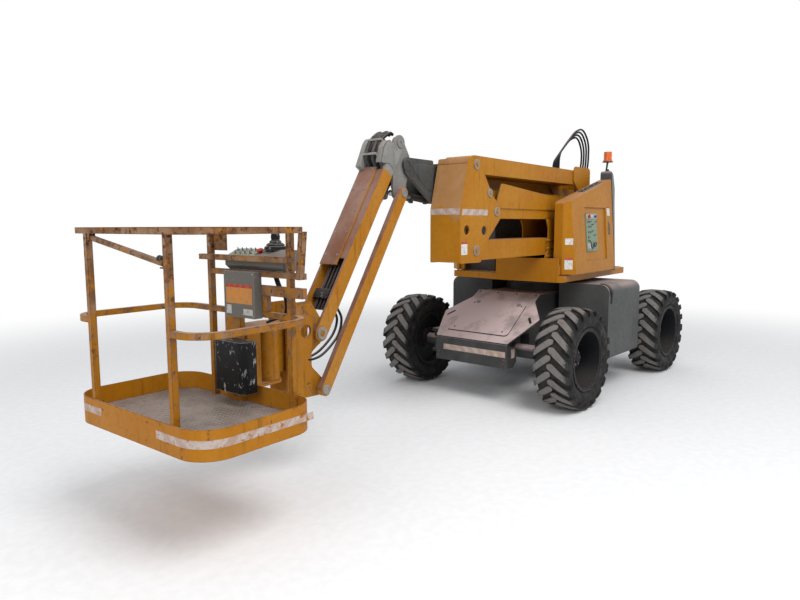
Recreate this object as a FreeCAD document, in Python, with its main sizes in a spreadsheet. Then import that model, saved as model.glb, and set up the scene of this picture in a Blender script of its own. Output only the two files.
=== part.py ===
import FreeCAD, Part
import math
import os
import Sketcher
from FreeCAD import Placement, Rotation, Vector

# Articulating boom lift, parked with its arms folded and its jib hanging.
# Millimetres. +X points along the boom to the basket, +Y to the machine's left, +Z up.
# The origin is on the ground under the middle of the parked machine.
# All upper pieces are laid out from the slewing axis, which stands slew_x behind the origin.
# The chassis stands turned by parked_slew under them, about the same axis.

DOC = FreeCAD.newDocument("BoomLift")
SHEET = DOC.addObject("Spreadsheet::Sheet", "Sizes")

# name, value: lengths in mm, angles in degrees
SIZES = [
    # stance
    ("parked_slew", 2.4),
    ("wheelbase", 2279),
    ("overall_width", 2300),
    ("tyre_radius", 502),
    ("tyre_width", 369),
    ("running_fit", 0.1),
    ("seat_gap", 0.3),
    # tyre and wheel
    ("tyre_crown", 14),
    ("lug_height", 28),
    ("lug_count", 20),
    ("lug_fall", 137),
    ("lug_head", 22),
    ("lug_foot", 66),
    ("bead_radius", 292),
    ("bead_width", 300),
    ("rim_radius", 310),
    ("rim_wall", 12),
    ("disc_inset", 235),
    ("disc_wall", 14),
    ("hub_radius", 118),
    ("hub_length", 120),
    ("spindle_radius", 62),
    # chassis
    ("frame_width", 760),
    ("frame_bottom", 430),
    ("pedestal_radius", 430),
    ("ring_bottom", 1150),
    ("ring_radius", 420),
    ("ring_bore", 300),
    ("ring_top", 1222),
    ("hood_rear", 769),
    ("hood_rear_top", 1070),
    ("hood_rear_half", 400),
    ("hood_notch", 892),
    ("hood_ear", 1147),
    ("hood_ear_half", 600),
    ("hood_front", 1515),
    ("hood_front_top", 630),
    ("hood_front_half", 444),
    ("hood_wall", 12),
    ("hood_slot_x", 1170),
    ("hood_slot_y", 500),
    ("hood_slot", 100),
    ("bumper_front", 1520),
    ("bumper_half", 444),
    ("bumper_bottom", 373),
    ("bumper_wall", 12),
    ("lashing_radius", 30),
    ("lashing_drop", 115),
    ("box_outer", 1020),
    ("box_bottom", 372),
    ("box_top", 1176),
    ("box_corner", 95),
    # axles
    ("axle_tube_radius", 72),
    ("diff_radius", 165),
    ("diff_length", 230),
    ("kingpin_half", 700),
    ("kingpin_radius", 52),
    ("kingpin_height", 200),
    ("yoke_wall", 32),
    # turret
    ("deck_top", 1290),
    ("deck_front", 1000),
    ("deck_half", 700),
    ("nose_top", 1470),
    ("tail_radius", 1130),
    ("weight_front", 930),
    ("weight_top", 2010),
    ("upright_wall", 15),
    ("cover_rear", 250),
    ("cover_front", 930),
    ("cover_face", 785),
    ("cover_lean", 80),
    ("cover_inner", 575),
    ("cover_fall", 290),
    ("cover_ridge", 2335),
    ("cover_wall", 24),
    ("cover_gap", 12),
    # arms
    ("arm_centre", 345),
    ("pylon_half", 155),
    ("plate_wall", 12),
    ("arm_side_gap", 5),
    ("lower_pivot_x", -450),
    ("lower_pivot_z", 1592),
    ("lower_reach", 2777),
    ("lower_depth", 174),
    ("lower_pin", 32),
    ("tie_back", 346),
    ("tie_rise", 343),
    ("tie_depth", 122),
    ("tie_pin", 26),
    ("upper_pin_z", 2335),
    ("upper_front_x", 2333),
    ("upper_reach", 2190),
    ("upper_depth", 154),
    ("upper_pin", 30),
    ("upper_tie_back", 230),
    ("upper_tie_drop", 235),
    ("upper_tie_depth", 70),
    ("upper_tie_half", 60),
    ("upper_tie_pin", 22),
    ("pylon_front", 2580),
    ("pylon_bottom", 1490),
    ("pylon_bend", 1950),
    ("pylon_top", 2386),
    ("pylon_top_x", 2460),
    # boom
    ("boom_centre", 50),
    ("boom_pivot_x", -480),
    ("boom_pivot_z", 2215),
    ("boom_pin", 32),
    ("boom_width", 240),
    ("boom_height", 320),
    ("boom_wall", 8),
    ("boom_tail", 80),
    ("boom_mouth", 2360),
    ("boom_axis_z", 2200),
    ("inner_gap", 9),
    ("inner_wall", 8),
    ("inner_tail", 350),
    ("head_neck", 155),
    ("head_reach", 365),
    ("head_pivot_z", 2310),
    ("head_wall", 20),
    ("head_half", 122),
    ("head_nose", 62),
    # jib
    ("jib_angle", 57.5),
    ("jib_reach", 1714),
    ("jib_pin_out", 95),
    ("jib_pin_z", 2483),
    ("jib_link_x", 16),
    ("jib_link_z", 407),
    ("jib_depth", 118),
    ("jib_half", 122),
    ("jib_wall", 10),
    ("jib_pin", 22),
    ("pin_head", 44),
    ("jib_tie_depth", 96),
    ("jib_tie_width", 42),
    ("jib_boss", 40),
    # basket
    ("turn_reach", 404),
    ("basket_centre", 130),
    ("basket_half", 680),
    ("basket_reach", 240),
    ("basket_depth", 820),
    ("basket_corner", 190),
    ("tray_bottom", 622),
    ("tray_top", 790),
    ("tray_wall", 6),
    ("floor_level", 672),
    ("rail_top", 1810),
    ("rail_middle", 1285),
    ("rail_tube", 36),
    ("box_inner", 440),
    ("box_reach", 430),
    ("bracket_place", 400),
    ("bracket_width", 60),
    ("bracket_height", 150),
    ("bumper_return", 190),
    ("lashing_inset", 95),
    ("pad_centre", 300),
    # turret
    ("deck_tail", 950),
    ("nose_right", -70),
    ("nose_left", 660),
    ("weight_half", 600),
    ("hinge_inset", 65),
    ("hinge_out", 26),
    ("hinge_height", 130),
    ("hinge_barrel", 90),
    ("hinge_pin", 10),
    ("upright_front", 970),
    ("upright_tail", 880),
    ("upright_top", 1872),
    ("upright_plate", 10),
    ("ram_lane", 98),
    ("arm_ram_base_x", -542),
    ("arm_ram_base_z", 1391),
    ("ram_pin", 25),
    ("right_cover_front", 850),
    ("cover_chamfer", 115),
    ("recess_rear", -36),
    ("recess_front", 555),
    ("recess_bottom", 1431),
    ("recess_top", 2000),
    ("recess_depth", 14),
    ("panel_rear", 220),
    ("panel_front", 510),
    ("panel_bottom", 1530),
    ("panel_top", 1935),
    ("tail_end", 890),
    ("tail_top", 2430),
    ("right_tail_inner", 200),
    ("beacon_x", -355),
    ("beacon_y", 620),
    ("beacon_rise", 115),
    ("beacon_base", 20),
    ("beacon_height", 91),
    ("beacon_radius", 45),
    ("engine_rear", 220),
    ("engine_front", 700),
    ("engine_outer", 690),
    ("engine_inner", 260),
    ("engine_gap", 95),
    # arms
    ("fork_length", 600),
    ("tie_half", 126),
    ("arm_ram_eye_x", 4),
    ("arm_ram_eye_z", 1835),
    ("ram_eye_half", 30),
    ("pylon_hole_x", 2478),
    ("pylon_hole_z", 1773),
    ("pylon_hole", 42),
    ("cap_rise", 8),
    # boom
    ("boom_ram_base_x", -300),
    ("boom_ram_base_z", 1800),
    ("boom_ram_eye_x", 900),
    ("boom_ram_eye_z", 1990),
    ("cheek_wall", 15),
    ("pad_length", 90),
    ("head_bottom", 2010),
    ("level_base_back", 460),
    ("level_base_z", 2030),
    ("level_eye_out", 50),
    ("level_eye_z", 2085),
    ("level_half", 25),
    ("level_pin", 16),
    # jib
    ("head_plate", 20),
    ("jib_ram_base_out", 65),
    ("jib_ram_base_z", 2225),
    ("jib_ram_reach", 947),
    ("jib_ram_drop", 75),
    ("jib_floor_drop", 15),
    ("jib_floor_start", 520),
    ("jib_cover_start", 300),
    ("jib_cover_end", 1118),
    ("jib_tie_gap", 11),
    ("hose_radius", 11),
    ("hose_pitch", 36),
    ("loop_reach", 730),
    ("loop_rise", 420),
    # basket
    ("turn_radius", 80),
    ("turn_pin", 30),
    ("turn_bottom", 760),
    ("turn_top", 1140),
    ("support_top", 1280),
    ("support_hole", 48),
    ("carrier_wall", 20),
    ("entry_right", -302),
    ("entry_left", 532),
    ("post_right", -203),
    ("post_left", 582),
    ("guard_bottom", 1596),
    ("cross_top", 1537),
    ("frame_top", 1449),
    ("frame_left", 720),
    ("console_bottom", 1565),
    ("console_depth", 180),
    ("console_right", -12),
    ("console_left", 545),
    ("console_height", 54),
    ("console_rise", 47),
    ("stick_radius", 66),
    ("stick_place", 350),
    ("grey_box_top", 1533),
    ("grey_box_height", 290),
    ("grey_box_depth", 60),
    ("grey_box_right", 53),
    ("grey_box_width", 300),
    ("document_right", -30),
    ("document_bottom", 760),
    ("document_height", 330),
    ("document_depth", 110),
    ("entry_bar_radius", 17),
    ("entry_bar_drop", 125),
    ("entry_bar_gap", 16),
    ("bar_pin", 8),
    ("bar_pivot_out", 25),
    ("bar_pivot_drop", 23),
    ("bar_eye_half", 12),
]


class Size:
    """A value with the sheet expression that it comes from."""

    def __init__(self, value, text):
        self.value = float(value)
        self.text = text

    def _join(self, other, sign, value):
        return Size(value, "(" + self.text + " " + sign + " " + size(other).text + ")")

    def __add__(self, other):
        return self._join(other, "+", self.value + size(other).value)

    def __sub__(self, other):
        return self._join(other, "-", self.value - size(other).value)

    def __mul__(self, other):
        return self._join(other, "*", self.value * size(other).value)

    def __truediv__(self, other):
        return self._join(other, "/", self.value / size(other).value)

    def __radd__(self, other):
        return size(other) + self

    def __rsub__(self, other):
        return size(other) - self

    def __rmul__(self, other):
        return size(other) * self

    def __neg__(self):
        return Size(-self.value, "(-1 * " + self.text + ")")


def size(number):
    """A plain number as a Size."""
    return number if isinstance(number, Size) else Size(number, repr(float(number)))


def sine(angle):
    return Size(math.sin(math.radians(angle.value)), "sin(" + angle.text + " * 1 deg)")


def cosine(angle):
    return Size(math.cos(math.radians(angle.value)), "cos(" + angle.text + " * 1 deg)")


class Sheet:
    """The driving dimensions, read as attributes."""


def fill_sheet():
    named = Sheet()
    for line, (name, value) in enumerate(SIZES, start=1):
        SHEET.set("A%d" % line, name)
        SHEET.set("B%d" % line, str(value))
        SHEET.setAlias("B%d" % line, name)
        setattr(named, name, Size(value, "Sizes." + name))
    DOC.recompute()
    return named


S = fill_sheet()


def bind(obj, prop, value):
    """Gives a property its value and ties it to the sheet."""
    value = size(value)
    if "Sizes." in value.text:
        obj.setExpression(prop, value.text)


def move(obj, x, y, z, turn=None):
    """Places an object by its base, with an optional fixed turn."""
    x, y, z = size(x), size(y), size(z)
    obj.Placement = Placement(Vector(x.value, y.value, z.value), turn or Rotation())
    for axis, value in zip("xyz", (x, y, z)):
        bind(obj, "Placement.Base." + axis, value)
    return obj


def block(low, high):
    """A box between two corners."""
    obj = DOC.addObject("Part::Box", "Block")
    for prop, axis in zip(("Length", "Width", "Height"), range(3)):
        extent = size(high[axis]) - size(low[axis])
        setattr(obj, prop, extent.value)
        bind(obj, prop, extent)
    return move(obj, *low)


TURNS = {
    "x": Rotation(Vector(0, 1, 0), 90),
    "y": Rotation(Vector(1, 0, 0), -90),
    "z": Rotation(),
}


def bar(axis, start, length, radius):
    """A round bar along an axis from its start point."""
    obj = DOC.addObject("Part::Cylinder", "Bar")
    for prop, value in (("Radius", size(radius)), ("Height", size(length))):
        setattr(obj, prop, value.value)
        bind(obj, prop, value)
    return move(obj, *start, turn=TURNS[axis])


def boolean(kind, label, pieces):
    obj = DOC.addObject(kind, label)
    obj.Shapes = pieces
    return obj


def fuse(*pieces):
    return boolean("Part::MultiFuse", "Joined", list(pieces))


def cut(base, *tools):
    obj = DOC.addObject("Part::Cut", "Cut")
    obj.Base = base
    obj.Tool = tools[0] if len(tools) == 1 else fuse(*tools)
    return obj


ROLES = {"x": "YZ_Plane", "y": "XZ_Plane", "z": "XY_Plane"}


def origin_plane(body, axis):
    for feature in body.Origin.OriginFeatures:
        if feature.Role == ROLES[axis]:
            return feature
    raise ValueError(axis)


def corner_data(outline):
    """Each corner's place, its two neighbours' directions and its rounding."""
    points = [(size(u), size(v), size(rest[0]) if rest else size(0)) for u, v, *rest in outline]
    flat = [Vector(u.value, v.value, 0) for u, v, r in points]
    data = []
    for i, (u, v, r) in enumerate(points):
        before = (flat[i - 1] - flat[i]).normalize()
        after = (flat[(i + 1) % len(flat)] - flat[i]).normalize()
        data.append((u, v, r, flat[i], before, after))
    return data


def place_point(sketch, geo, pos, u, v, tag):
    for kind, value in (("DistanceX", u), ("DistanceY", v)):
        index = sketch.addConstraint(Sketcher.Constraint(kind, geo, pos, value.value))
        name = tag + kind[-1]
        sketch.renameConstraint(index, name)
        bind(sketch, "Constraints." + name, value)


def draw_outline(sketch, outline, tag):
    """Draws a closed outline of straight edges with rounded corners where a radius is given."""
    data = corner_data(outline)
    count = len(data)
    cuts = []
    for u, v, r, point, before, after in data:
        if r.value:
            half = before.getAngle(after) / 2
            reach = r.value / math.tan(half)
            middle = (before + after).normalize() * (r.value / math.sin(half))
            cuts.append((point + before * reach, point + after * reach, point + middle))
        else:
            cuts.append((point, point, None))
    lines = []
    for i in range(count):
        edge = Part.LineSegment(cuts[i][1], cuts[(i + 1) % count][0])
        lines.append(sketch.addGeometry(edge, False))
    for i, (u, v, r, point, before, after) in enumerate(data):
        previous, following = lines[i - 1], lines[i]
        name = tag + str(i)
        if not r.value:
            sketch.addConstraint(Sketcher.Constraint("Coincident", previous, 2, following, 1))
            place_point(sketch, following, 1, u, v, name)
            continue
        start, end, centre = cuts[i]
        radius = r.value
        left = before.cross(after).z < 0
        first = math.atan2(start.y - centre.y, start.x - centre.x)
        last = math.atan2(end.y - centre.y, end.x - centre.x)
        if not left:
            first, last = last, first
        circle = Part.Circle(centre, Vector(0, 0, 1), radius)
        arc = sketch.addGeometry(Part.ArcOfCircle(circle, first, last), False)
        ends = (1, 2) if left else (2, 1)
        sketch.addConstraint(Sketcher.Constraint("Tangent", previous, 2, arc, ends[0]))
        sketch.addConstraint(Sketcher.Constraint("Tangent", arc, ends[1], following, 1))
        index = sketch.addConstraint(Sketcher.Constraint("Radius", arc, radius))
        sketch.renameConstraint(index, name + "R")
        bind(sketch, "Constraints." + name + "R", r)
        corner = sketch.addGeometry(Part.Point(point), True)
        sketch.addConstraint(Sketcher.Constraint("PointOnObject", corner, 1, previous))
        sketch.addConstraint(Sketcher.Constraint("PointOnObject", corner, 1, following))
        place_point(sketch, corner, 1, u, v, name)


def draw_circle(sketch, u, v, radius, tag):
    u, v, radius = size(u), size(v), size(radius)
    centre = Vector(u.value, v.value, 0)
    circle = sketch.addGeometry(Part.Circle(centre, Vector(0, 0, 1), radius.value), False)
    place_point(sketch, circle, 3, u, v, tag)
    index = sketch.addConstraint(Sketcher.Constraint("Radius", circle, radius.value))
    sketch.renameConstraint(index, tag + "R")
    bind(sketch, "Constraints." + tag + "R", radius)


def new_sketch(body, axis, offset):
    """A sketch across an axis. Across y its u is X and its v is Z."""
    sketch = body.newObject("Sketcher::SketchObject", "Profile")
    sketch.AttachmentSupport = [(origin_plane(body, axis), "")]
    sketch.MapMode = "FlatFace"
    offset = -size(offset) if axis == "y" else size(offset)
    sketch.AttachmentOffset = Placement(Vector(0, 0, offset.value), Rotation())
    bind(sketch, "AttachmentOffset.Base.z", offset)
    return sketch


def slab(axis, outline, low, high, holes=()):
    """An outline across an axis, padded from low to high, with round holes (u, v, radius)."""
    body = DOC.addObject("PartDesign::Body", "Slab")
    base = high if axis == "y" else low
    sketch = new_sketch(body, axis, base)
    draw_outline(sketch, outline, "P")
    for i, (u, v, radius) in enumerate(holes):
        draw_circle(sketch, u, v, radius, "H" + str(i))
    pad = body.newObject("PartDesign::Pad", "Pad")
    pad.Profile = sketch
    depth = size(high) - size(low)
    pad.Length = depth.value
    bind(pad, "Length", depth)
    return body


def turned(outline):
    """A full turn about Y of an outline given as (along Y, radius)."""
    body = DOC.addObject("PartDesign::Body", "Turned")
    sketch = new_sketch(body, "x", 0)
    draw_outline(sketch, outline, "P")
    turn = body.newObject("PartDesign::Revolution", "Turn")
    turn.Profile = sketch
    turn.ReferenceAxis = (sketch, ["H_Axis"])
    turn.Angle = 360
    return body


def mirrored(obj, normal):
    """The same piece on the other side of a plane through the origin."""
    other = DOC.addObject("Part::Mirroring", "Mirror")
    other.Source = obj
    other.Normal = normal
    return other


NODES = []
SIDE = Vector(0, 1, 0)
FORE = Vector(1, 0, 0)

# Points of the boom's head, the jib and the basket, each laid out from the one before.
HEAD_REAR = S.boom_mouth + S.head_neck
HEAD_PIVOT = (HEAD_REAR + S.head_reach, S.head_pivot_z)
LEVEL_BASE = (HEAD_PIVOT[0] - S.level_base_back, S.level_base_z)
LEVEL_EYE = (HEAD_PIVOT[0] + S.level_eye_out, S.level_eye_z)
JIB_UP = (HEAD_PIVOT[0] + S.jib_pin_out, S.jib_pin_z)
JIB_LOW = (JIB_UP[0] + S.jib_link_x, JIB_UP[1] - S.jib_link_z)
JIB_RAM_BASE = (HEAD_PIVOT[0] + S.jib_ram_base_out, S.jib_ram_base_z)
JIB_DX = S.jib_reach * cosine(S.jib_angle)
JIB_DZ = S.jib_reach * sine(S.jib_angle)
END_UP = (JIB_UP[0] + JIB_DX, JIB_UP[1] - JIB_DZ)
END_LOW = (JIB_LOW[0] + JIB_DX, JIB_LOW[1] - JIB_DZ)
TURN_X = END_UP[0] + S.turn_reach
BASKET_REAR = TURN_X + S.basket_reach
BASKET_FRONT = BASKET_REAR + S.basket_depth

# The slewing axis lies so that the machine's outline is centred on the origin.
TAIL_REACH = S.wheelbase / 2 + S.tyre_radius + S.overall_width / 2 * sine(S.parked_slew)
SLEW_X = (TAIL_REACH - BASKET_FRONT) / 2


def node(label, obj, chassis=False, at=None):
    """Names a finished sub-part and stands it on the slewing axis."""
    x, y, z = at or (0, 0, 0)
    x, y = size(x), size(y)
    group = DOC.addObject("Part::Compound", "Seated")
    group.Links = [obj]
    group.Label = label
    if chassis:
        turn = Rotation(Vector(0, 0, -1), S.parked_slew.value)
        east = SLEW_X + x * cosine(S.parked_slew) + y * sine(S.parked_slew)
        north = y * cosine(S.parked_slew) - x * sine(S.parked_slew)
        move(group, east, north, z, turn=turn)
        bind(group, "Placement.Rotation.Angle", S.parked_slew)
    else:
        move(group, SLEW_X + x, y, z)
    NODES.append(group)
    return group


def rounded_beam(x0, x1, z0, z1):
    """A side outline of a beam with half-round ends."""
    nose = (size(z1) - size(z0)) * 0.49
    return [(x0, z0, nose), (x1, z0, nose), (x1, z1, nose), (x0, z1, nose)]

# Chassis: tyres, rims and knuckles, each laid out from its wheel's centre.
WHEEL_X = S.wheelbase / 2
WHEEL_Y = (S.overall_width - S.tyre_width) / 2
KNUCKLE_REACH = WHEEL_Y - S.kingpin_half


def tyre():
    """A carcass with two rows of slanting lugs, one half a pitch behind the other."""
    half, bead = S.tyre_width / 2, S.bead_width / 2
    carcass_radius = S.tyre_radius - S.lug_height
    shoulder = S.tyre_radius - S.tyre_crown
    flank = [(bead, S.bead_radius), (bead, S.rim_radius), (half - 10, S.rim_radius + 36),
             (half, S.rim_radius + 80), (half - 6, carcass_radius - 46), (half - 30, carcass_radius - 12),
             (half * 0.45, carcass_radius)]
    tip = [(half - 8, carcass_radius - 64), (half, carcass_radius - 34), (half, shoulder - 14),
           (half - 14, shoulder), (half * 0.4, S.tyre_radius)]
    carcass, envelope = [turned([(-u, v) for u, v in side] + side[::-1]) for side in (flank, tip)]
    lugs = []
    head, pitch = S.lug_head, 360 / S.lug_count.value
    for side in (1, -1):
        outline = [(-16, head, 19), (-16, -head, 19), (half + 1, -S.lug_fall - S.lug_foot / 2),
                   (half + 1, -S.lug_fall + S.lug_foot / 2), (30, head, 18)]
        rib = slab("x", [(size(u) * side, v, *rest) for u, v, *rest in outline],
                   carcass_radius - 94, S.tyre_radius + 5)
        for step in range(int(S.lug_count.value)):
            lug = DOC.addObject("Part::Compound", "Lug")
            lug.Links = [rib]
            turn = Rotation(SIDE, pitch * (step + (0.5 if side < 0 else 0)))
            lugs.append(move(lug, 0, 0, 0, turn=turn))
    rows = DOC.addObject("Part::Compound", "Lugs")
    rows.Links = lugs
    tips = DOC.addObject("Part::Common", "Tips")
    tips.Base = rows
    tips.Tool = envelope
    whole = fuse(carcass, tips)
    tips.Refine = False
    whole.Refine = False
    return whole


TYRE = tyre()


def rim(side):
    """The wheel disc stands deep inside the rim, round a long hub. side is 1 for the left."""
    seat = S.bead_width / 2 + S.seat_gap
    lip = seat + S.rim_wall
    well = S.bead_radius - S.seat_gap
    inner = well - S.rim_wall
    disc = lip - S.disc_inset
    face = disc + S.hub_length
    socket = face - S.rim_wall * 3
    rear = -S.hub_length - S.rim_wall
    outline = [
        (lip, S.rim_radius), (seat, S.rim_radius), (seat, well), (-seat, well),
        (-seat, S.rim_radius), (-lip, S.rim_radius), (-lip, inner), (disc - S.disc_wall, inner),
        (disc - S.disc_wall, S.hub_radius), (rear, S.hub_radius),
        (rear, S.spindle_radius + S.running_fit), (socket, S.spindle_radius + S.running_fit),
        (socket, 0), (face, 0), (face, S.hub_radius * 0.7, 10), (disc, S.hub_radius + 30, 20),
        (disc, inner), (lip, inner)]
    return turned([(u * side, v, *rest) for u, v, *rest in outline])


SPINDLE_TIP = (S.bead_width / 2 + S.seat_gap + S.rim_wall - S.disc_inset + S.hub_length
               - S.rim_wall * 3 - S.running_fit * 20)
EAR_RISE = S.kingpin_height / 2 + S.seat_gap


def knuckle(side):
    """A kingpin through its barrel, with the spindle that carries the wheel."""
    barrel = bar("z", (0, 0, -S.kingpin_height / 2), S.kingpin_height, S.kingpin_radius)
    pin = bar("z", (0, 0, -EAR_RISE - S.yoke_wall), (EAR_RISE + S.yoke_wall) * 2,
              S.kingpin_radius / 2)
    reach = KNUCKLE_REACH + SPINDLE_TIP
    start = (0, 0, 0) if side > 0 else (0, -reach, 0)
    return fuse(barrel, pin, bar("y", start, reach, S.spindle_radius))


for wheel_name, along, side in (("front_left", 1, 1), ("front_right", 1, -1),
                                ("rear_left", -1, 1), ("rear_right", -1, -1)):
    centre = (WHEEL_X * along, WHEEL_Y * side, S.tyre_radius)
    node("tyre_" + wheel_name, TYRE, chassis=True, at=centre)
    node("rim_" + wheel_name, rim(side), chassis=True, at=centre)
for knuckle_name, side in (("left", 1), ("right", -1)):
    node("knuckle_" + knuckle_name, knuckle(side), chassis=True,
         at=(WHEEL_X, S.kingpin_half * side, S.tyre_radius))

# Chassis frame, pedestal and slewing ring
HOOD_FALL = (S.hood_rear_top - S.hood_front_top) / (S.hood_front - S.hood_rear)
HOOD_THICK = S.hood_wall * 1.16
FRAME_REACH = S.bumper_front - S.bumper_wall - S.seat_gap
FRAME_TOP = S.hood_rear_top - HOOD_THICK - S.seat_gap
FRAME_NOSE = FRAME_TOP - HOOD_FALL * (FRAME_REACH - S.hood_rear)
ARCH_TOP = S.tyre_radius + S.diff_radius + S.seat_gap
ARCH_HALF = S.diff_radius + 12
FRAME_HALF = S.frame_width / 2
BRACKET_TIP = S.box_inner - S.seat_gap


def chassis_frame():
    front, rear = WHEEL_X + ARCH_HALF, WHEEL_X - ARCH_HALF
    rail = slab("y", [
        (-FRAME_REACH, S.frame_bottom), (-front, S.frame_bottom), (-front, ARCH_TOP, 30),
        (-rear, ARCH_TOP, 30), (-rear, S.frame_bottom), (rear, S.frame_bottom),
        (rear, ARCH_TOP, 30), (front, ARCH_TOP, 30), (front, S.frame_bottom),
        (FRAME_REACH, S.frame_bottom), (FRAME_REACH, FRAME_NOSE), (S.hood_rear, FRAME_TOP),
        (-S.hood_rear, FRAME_TOP), (-FRAME_REACH, FRAME_NOSE)], -FRAME_HALF, FRAME_HALF)
    pedestal = bar("z", (0, 0, FRAME_TOP - S.bracket_height), S.ring_bottom - FRAME_TOP + S.bracket_height,
                   S.pedestal_radius)
    brackets = []
    for x in (-S.bracket_place, S.bracket_place - S.bracket_width):
        brackets.append(block((x, -BRACKET_TIP, S.tyre_radius),
                              (x + S.bracket_width, BRACKET_TIP, S.tyre_radius + S.bracket_height)))
    return fuse(rail, pedestal, *brackets)


node("chassis_frame", chassis_frame(), chassis=True)
ring_height = S.ring_top - S.ring_bottom
node("slew_ring", cut(bar("z", (0, 0, S.ring_bottom), ring_height, S.ring_radius),
                      bar("z", (0, 0, S.ring_bottom - 1), ring_height + 2, S.ring_bore)),
     chassis=True)


def hood():
    """A bent plate over the front axle, with ears beside the wheels and a raised middle."""
    def plate(rise, wall, rear, front):
        rear_top = S.hood_rear_top + rise - HOOD_FALL * (rear - S.hood_rear)
        front_top = S.hood_rear_top + rise - HOOD_FALL * (front - S.hood_rear)
        return slab("y", [(rear, rear_top - wall), (front, front_top - wall),
                          (front, front_top), (rear, rear_top)],
                    -S.hood_ear_half - 10, S.hood_ear_half + 10)
    outline = [(S.hood_rear, -S.hood_rear_half), (S.hood_notch, -S.hood_rear_half, 40),
               (S.hood_ear, -S.hood_ear_half, 30), (S.hood_front, -S.hood_front_half, 20),
               (S.hood_front, S.hood_front_half, 20), (S.hood_ear, S.hood_ear_half, 30),
               (S.hood_notch, S.hood_rear_half, 40), (S.hood_rear, S.hood_rear_half)]
    skin = boolean("Part::MultiCommon", "Skin", [
        plate(0, HOOD_THICK, S.hood_rear, S.hood_front),
        slab("z", outline, S.frame_bottom, S.hood_rear_top + 50)])
    panel_rear, panel_front = S.hood_notch + 60, S.hood_front - 90
    panel = boolean("Part::MultiCommon", "Panel", [
        plate(S.hood_wall, HOOD_THICK * 1.5, panel_rear, panel_front),
        slab("z", [(panel_rear, -S.hood_rear_half + 60, 40), (panel_front, -S.hood_front_half + 60, 40),
                   (panel_front, S.hood_front_half - 60, 40), (panel_rear, S.hood_rear_half - 60, 40)],
             S.frame_bottom, S.hood_rear_top + 50)])
    slots = []
    for side in (1, -1):
        along, across = (S.hood_slot * 0.39, S.hood_slot * 0.31 * side), (7.5, -9.5 * side)
        corners = [(1, 1), (-1, 1), (-1, -1), (1, -1)]
        slots.append(slab("z", [(S.hood_slot_x + along[0] * a + across[0] * b,
                                 S.hood_slot_y * side + along[1] * a + across[1] * b, 5)
                                for a, b in corners], S.frame_bottom, S.hood_rear_top + 50))
    return fuse(cut(skin, *slots), panel)


HOOD = hood()
node("hoods", fuse(HOOD, mirrored(hood(), FORE)), chassis=True)
BUMPER_TOP = S.hood_front_top - HOOD_THICK - S.seat_gap


def bumper():
    """A front plate with two end plates, each with a lashing hole."""
    low, high = S.bumper_bottom, BUMPER_TOP
    root = S.bumper_front - S.bumper_return
    plate = block((S.bumper_front - S.bumper_wall, -S.bumper_half, low),
                  (S.bumper_front, S.bumper_half, high))
    ends = []
    for side in (1, -1):
        inner, outer = (S.bumper_half - S.bumper_wall) * side, S.bumper_half * side
        near, far = (inner, outer) if side > 0 else (outer, inner)
        ends.append(slab("y", [(root, low + 60, 20), (root + 60, low, 20), (S.bumper_front, low),
                               (S.bumper_front, high), (root, high - 60, 20)], near, far,
                         holes=[(S.bumper_front - S.lashing_inset, high - S.lashing_drop,
                                 S.lashing_radius)]))
    return fuse(plate, *ends)


node("bumpers", fuse(bumper(), mirrored(bumper(), FORE)), chassis=True)


def side_box():
    """A rounded tank beside the frame, between the wheels."""
    return slab("x", [(S.box_inner, S.box_bottom, 15), (S.box_outer, S.box_bottom, 30),
                      (S.box_outer, S.box_top, S.box_corner), (S.box_inner, S.box_top, 25)],
                -S.box_reach, S.box_reach)


node("side_boxes", fuse(side_box(), mirrored(side_box(), SIDE)), chassis=True)


def axle(steered):
    half = S.kingpin_half - S.kingpin_radius * 1.6 if steered else S.kingpin_half + 60
    x = WHEEL_X if steered else -WHEEL_X
    level = S.tyre_radius
    pieces = [bar("y", (x, -half, level), half * 2, S.axle_tube_radius),
              bar("y", (x, -S.diff_length / 2, level), S.diff_length, S.diff_radius)]
    for side in (1, -1):
        pad = S.pad_centre * side
        pieces.append(block((x - 60, pad - 40, level), (x + 60, pad + 40, ARCH_TOP - S.seat_gap)))
        if not steered:
            tip = WHEEL_Y + SPINDLE_TIP
            start = (x, half, level) if side > 0 else (x, -tip, level)
            pieces.append(bar("y", start, tip - half, S.spindle_radius))
            continue
        root, tip = half - 30, S.kingpin_half + 45
        near, far = (root, tip) if side > 0 else (-tip, -root)
        pieces.append(block((x - 65, root if side > 0 else -half, level - EAR_RISE - S.yoke_wall),
                            (x + 65, half if side > 0 else -root, level + EAR_RISE + S.yoke_wall)))
        for ear in (EAR_RISE, -EAR_RISE - S.yoke_wall):
            pieces.append(cut(block((x - 65, near, level + ear), (x + 65, far, level + ear + S.yoke_wall)),
                              bar("z", (x, S.kingpin_half * side, level + ear - 1), S.yoke_wall + 2,
                                  S.kingpin_radius / 2 + S.running_fit)))
    return fuse(*pieces)


node("axle_front", axle(True), chassis=True)
node("axle_rear", axle(False), chassis=True)

# Turret
DECK_BOTTOM = S.ring_top + S.seat_gap
HINGE_Y = S.cover_inner + S.hinge_inset
HINGE_X = {1: S.cover_front + S.hinge_out, -1: S.right_cover_front + S.hinge_out}
COVER_BOTTOM = S.deck_top + S.cover_gap
COVER_EAVES = S.cover_ridge - S.cover_fall


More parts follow.
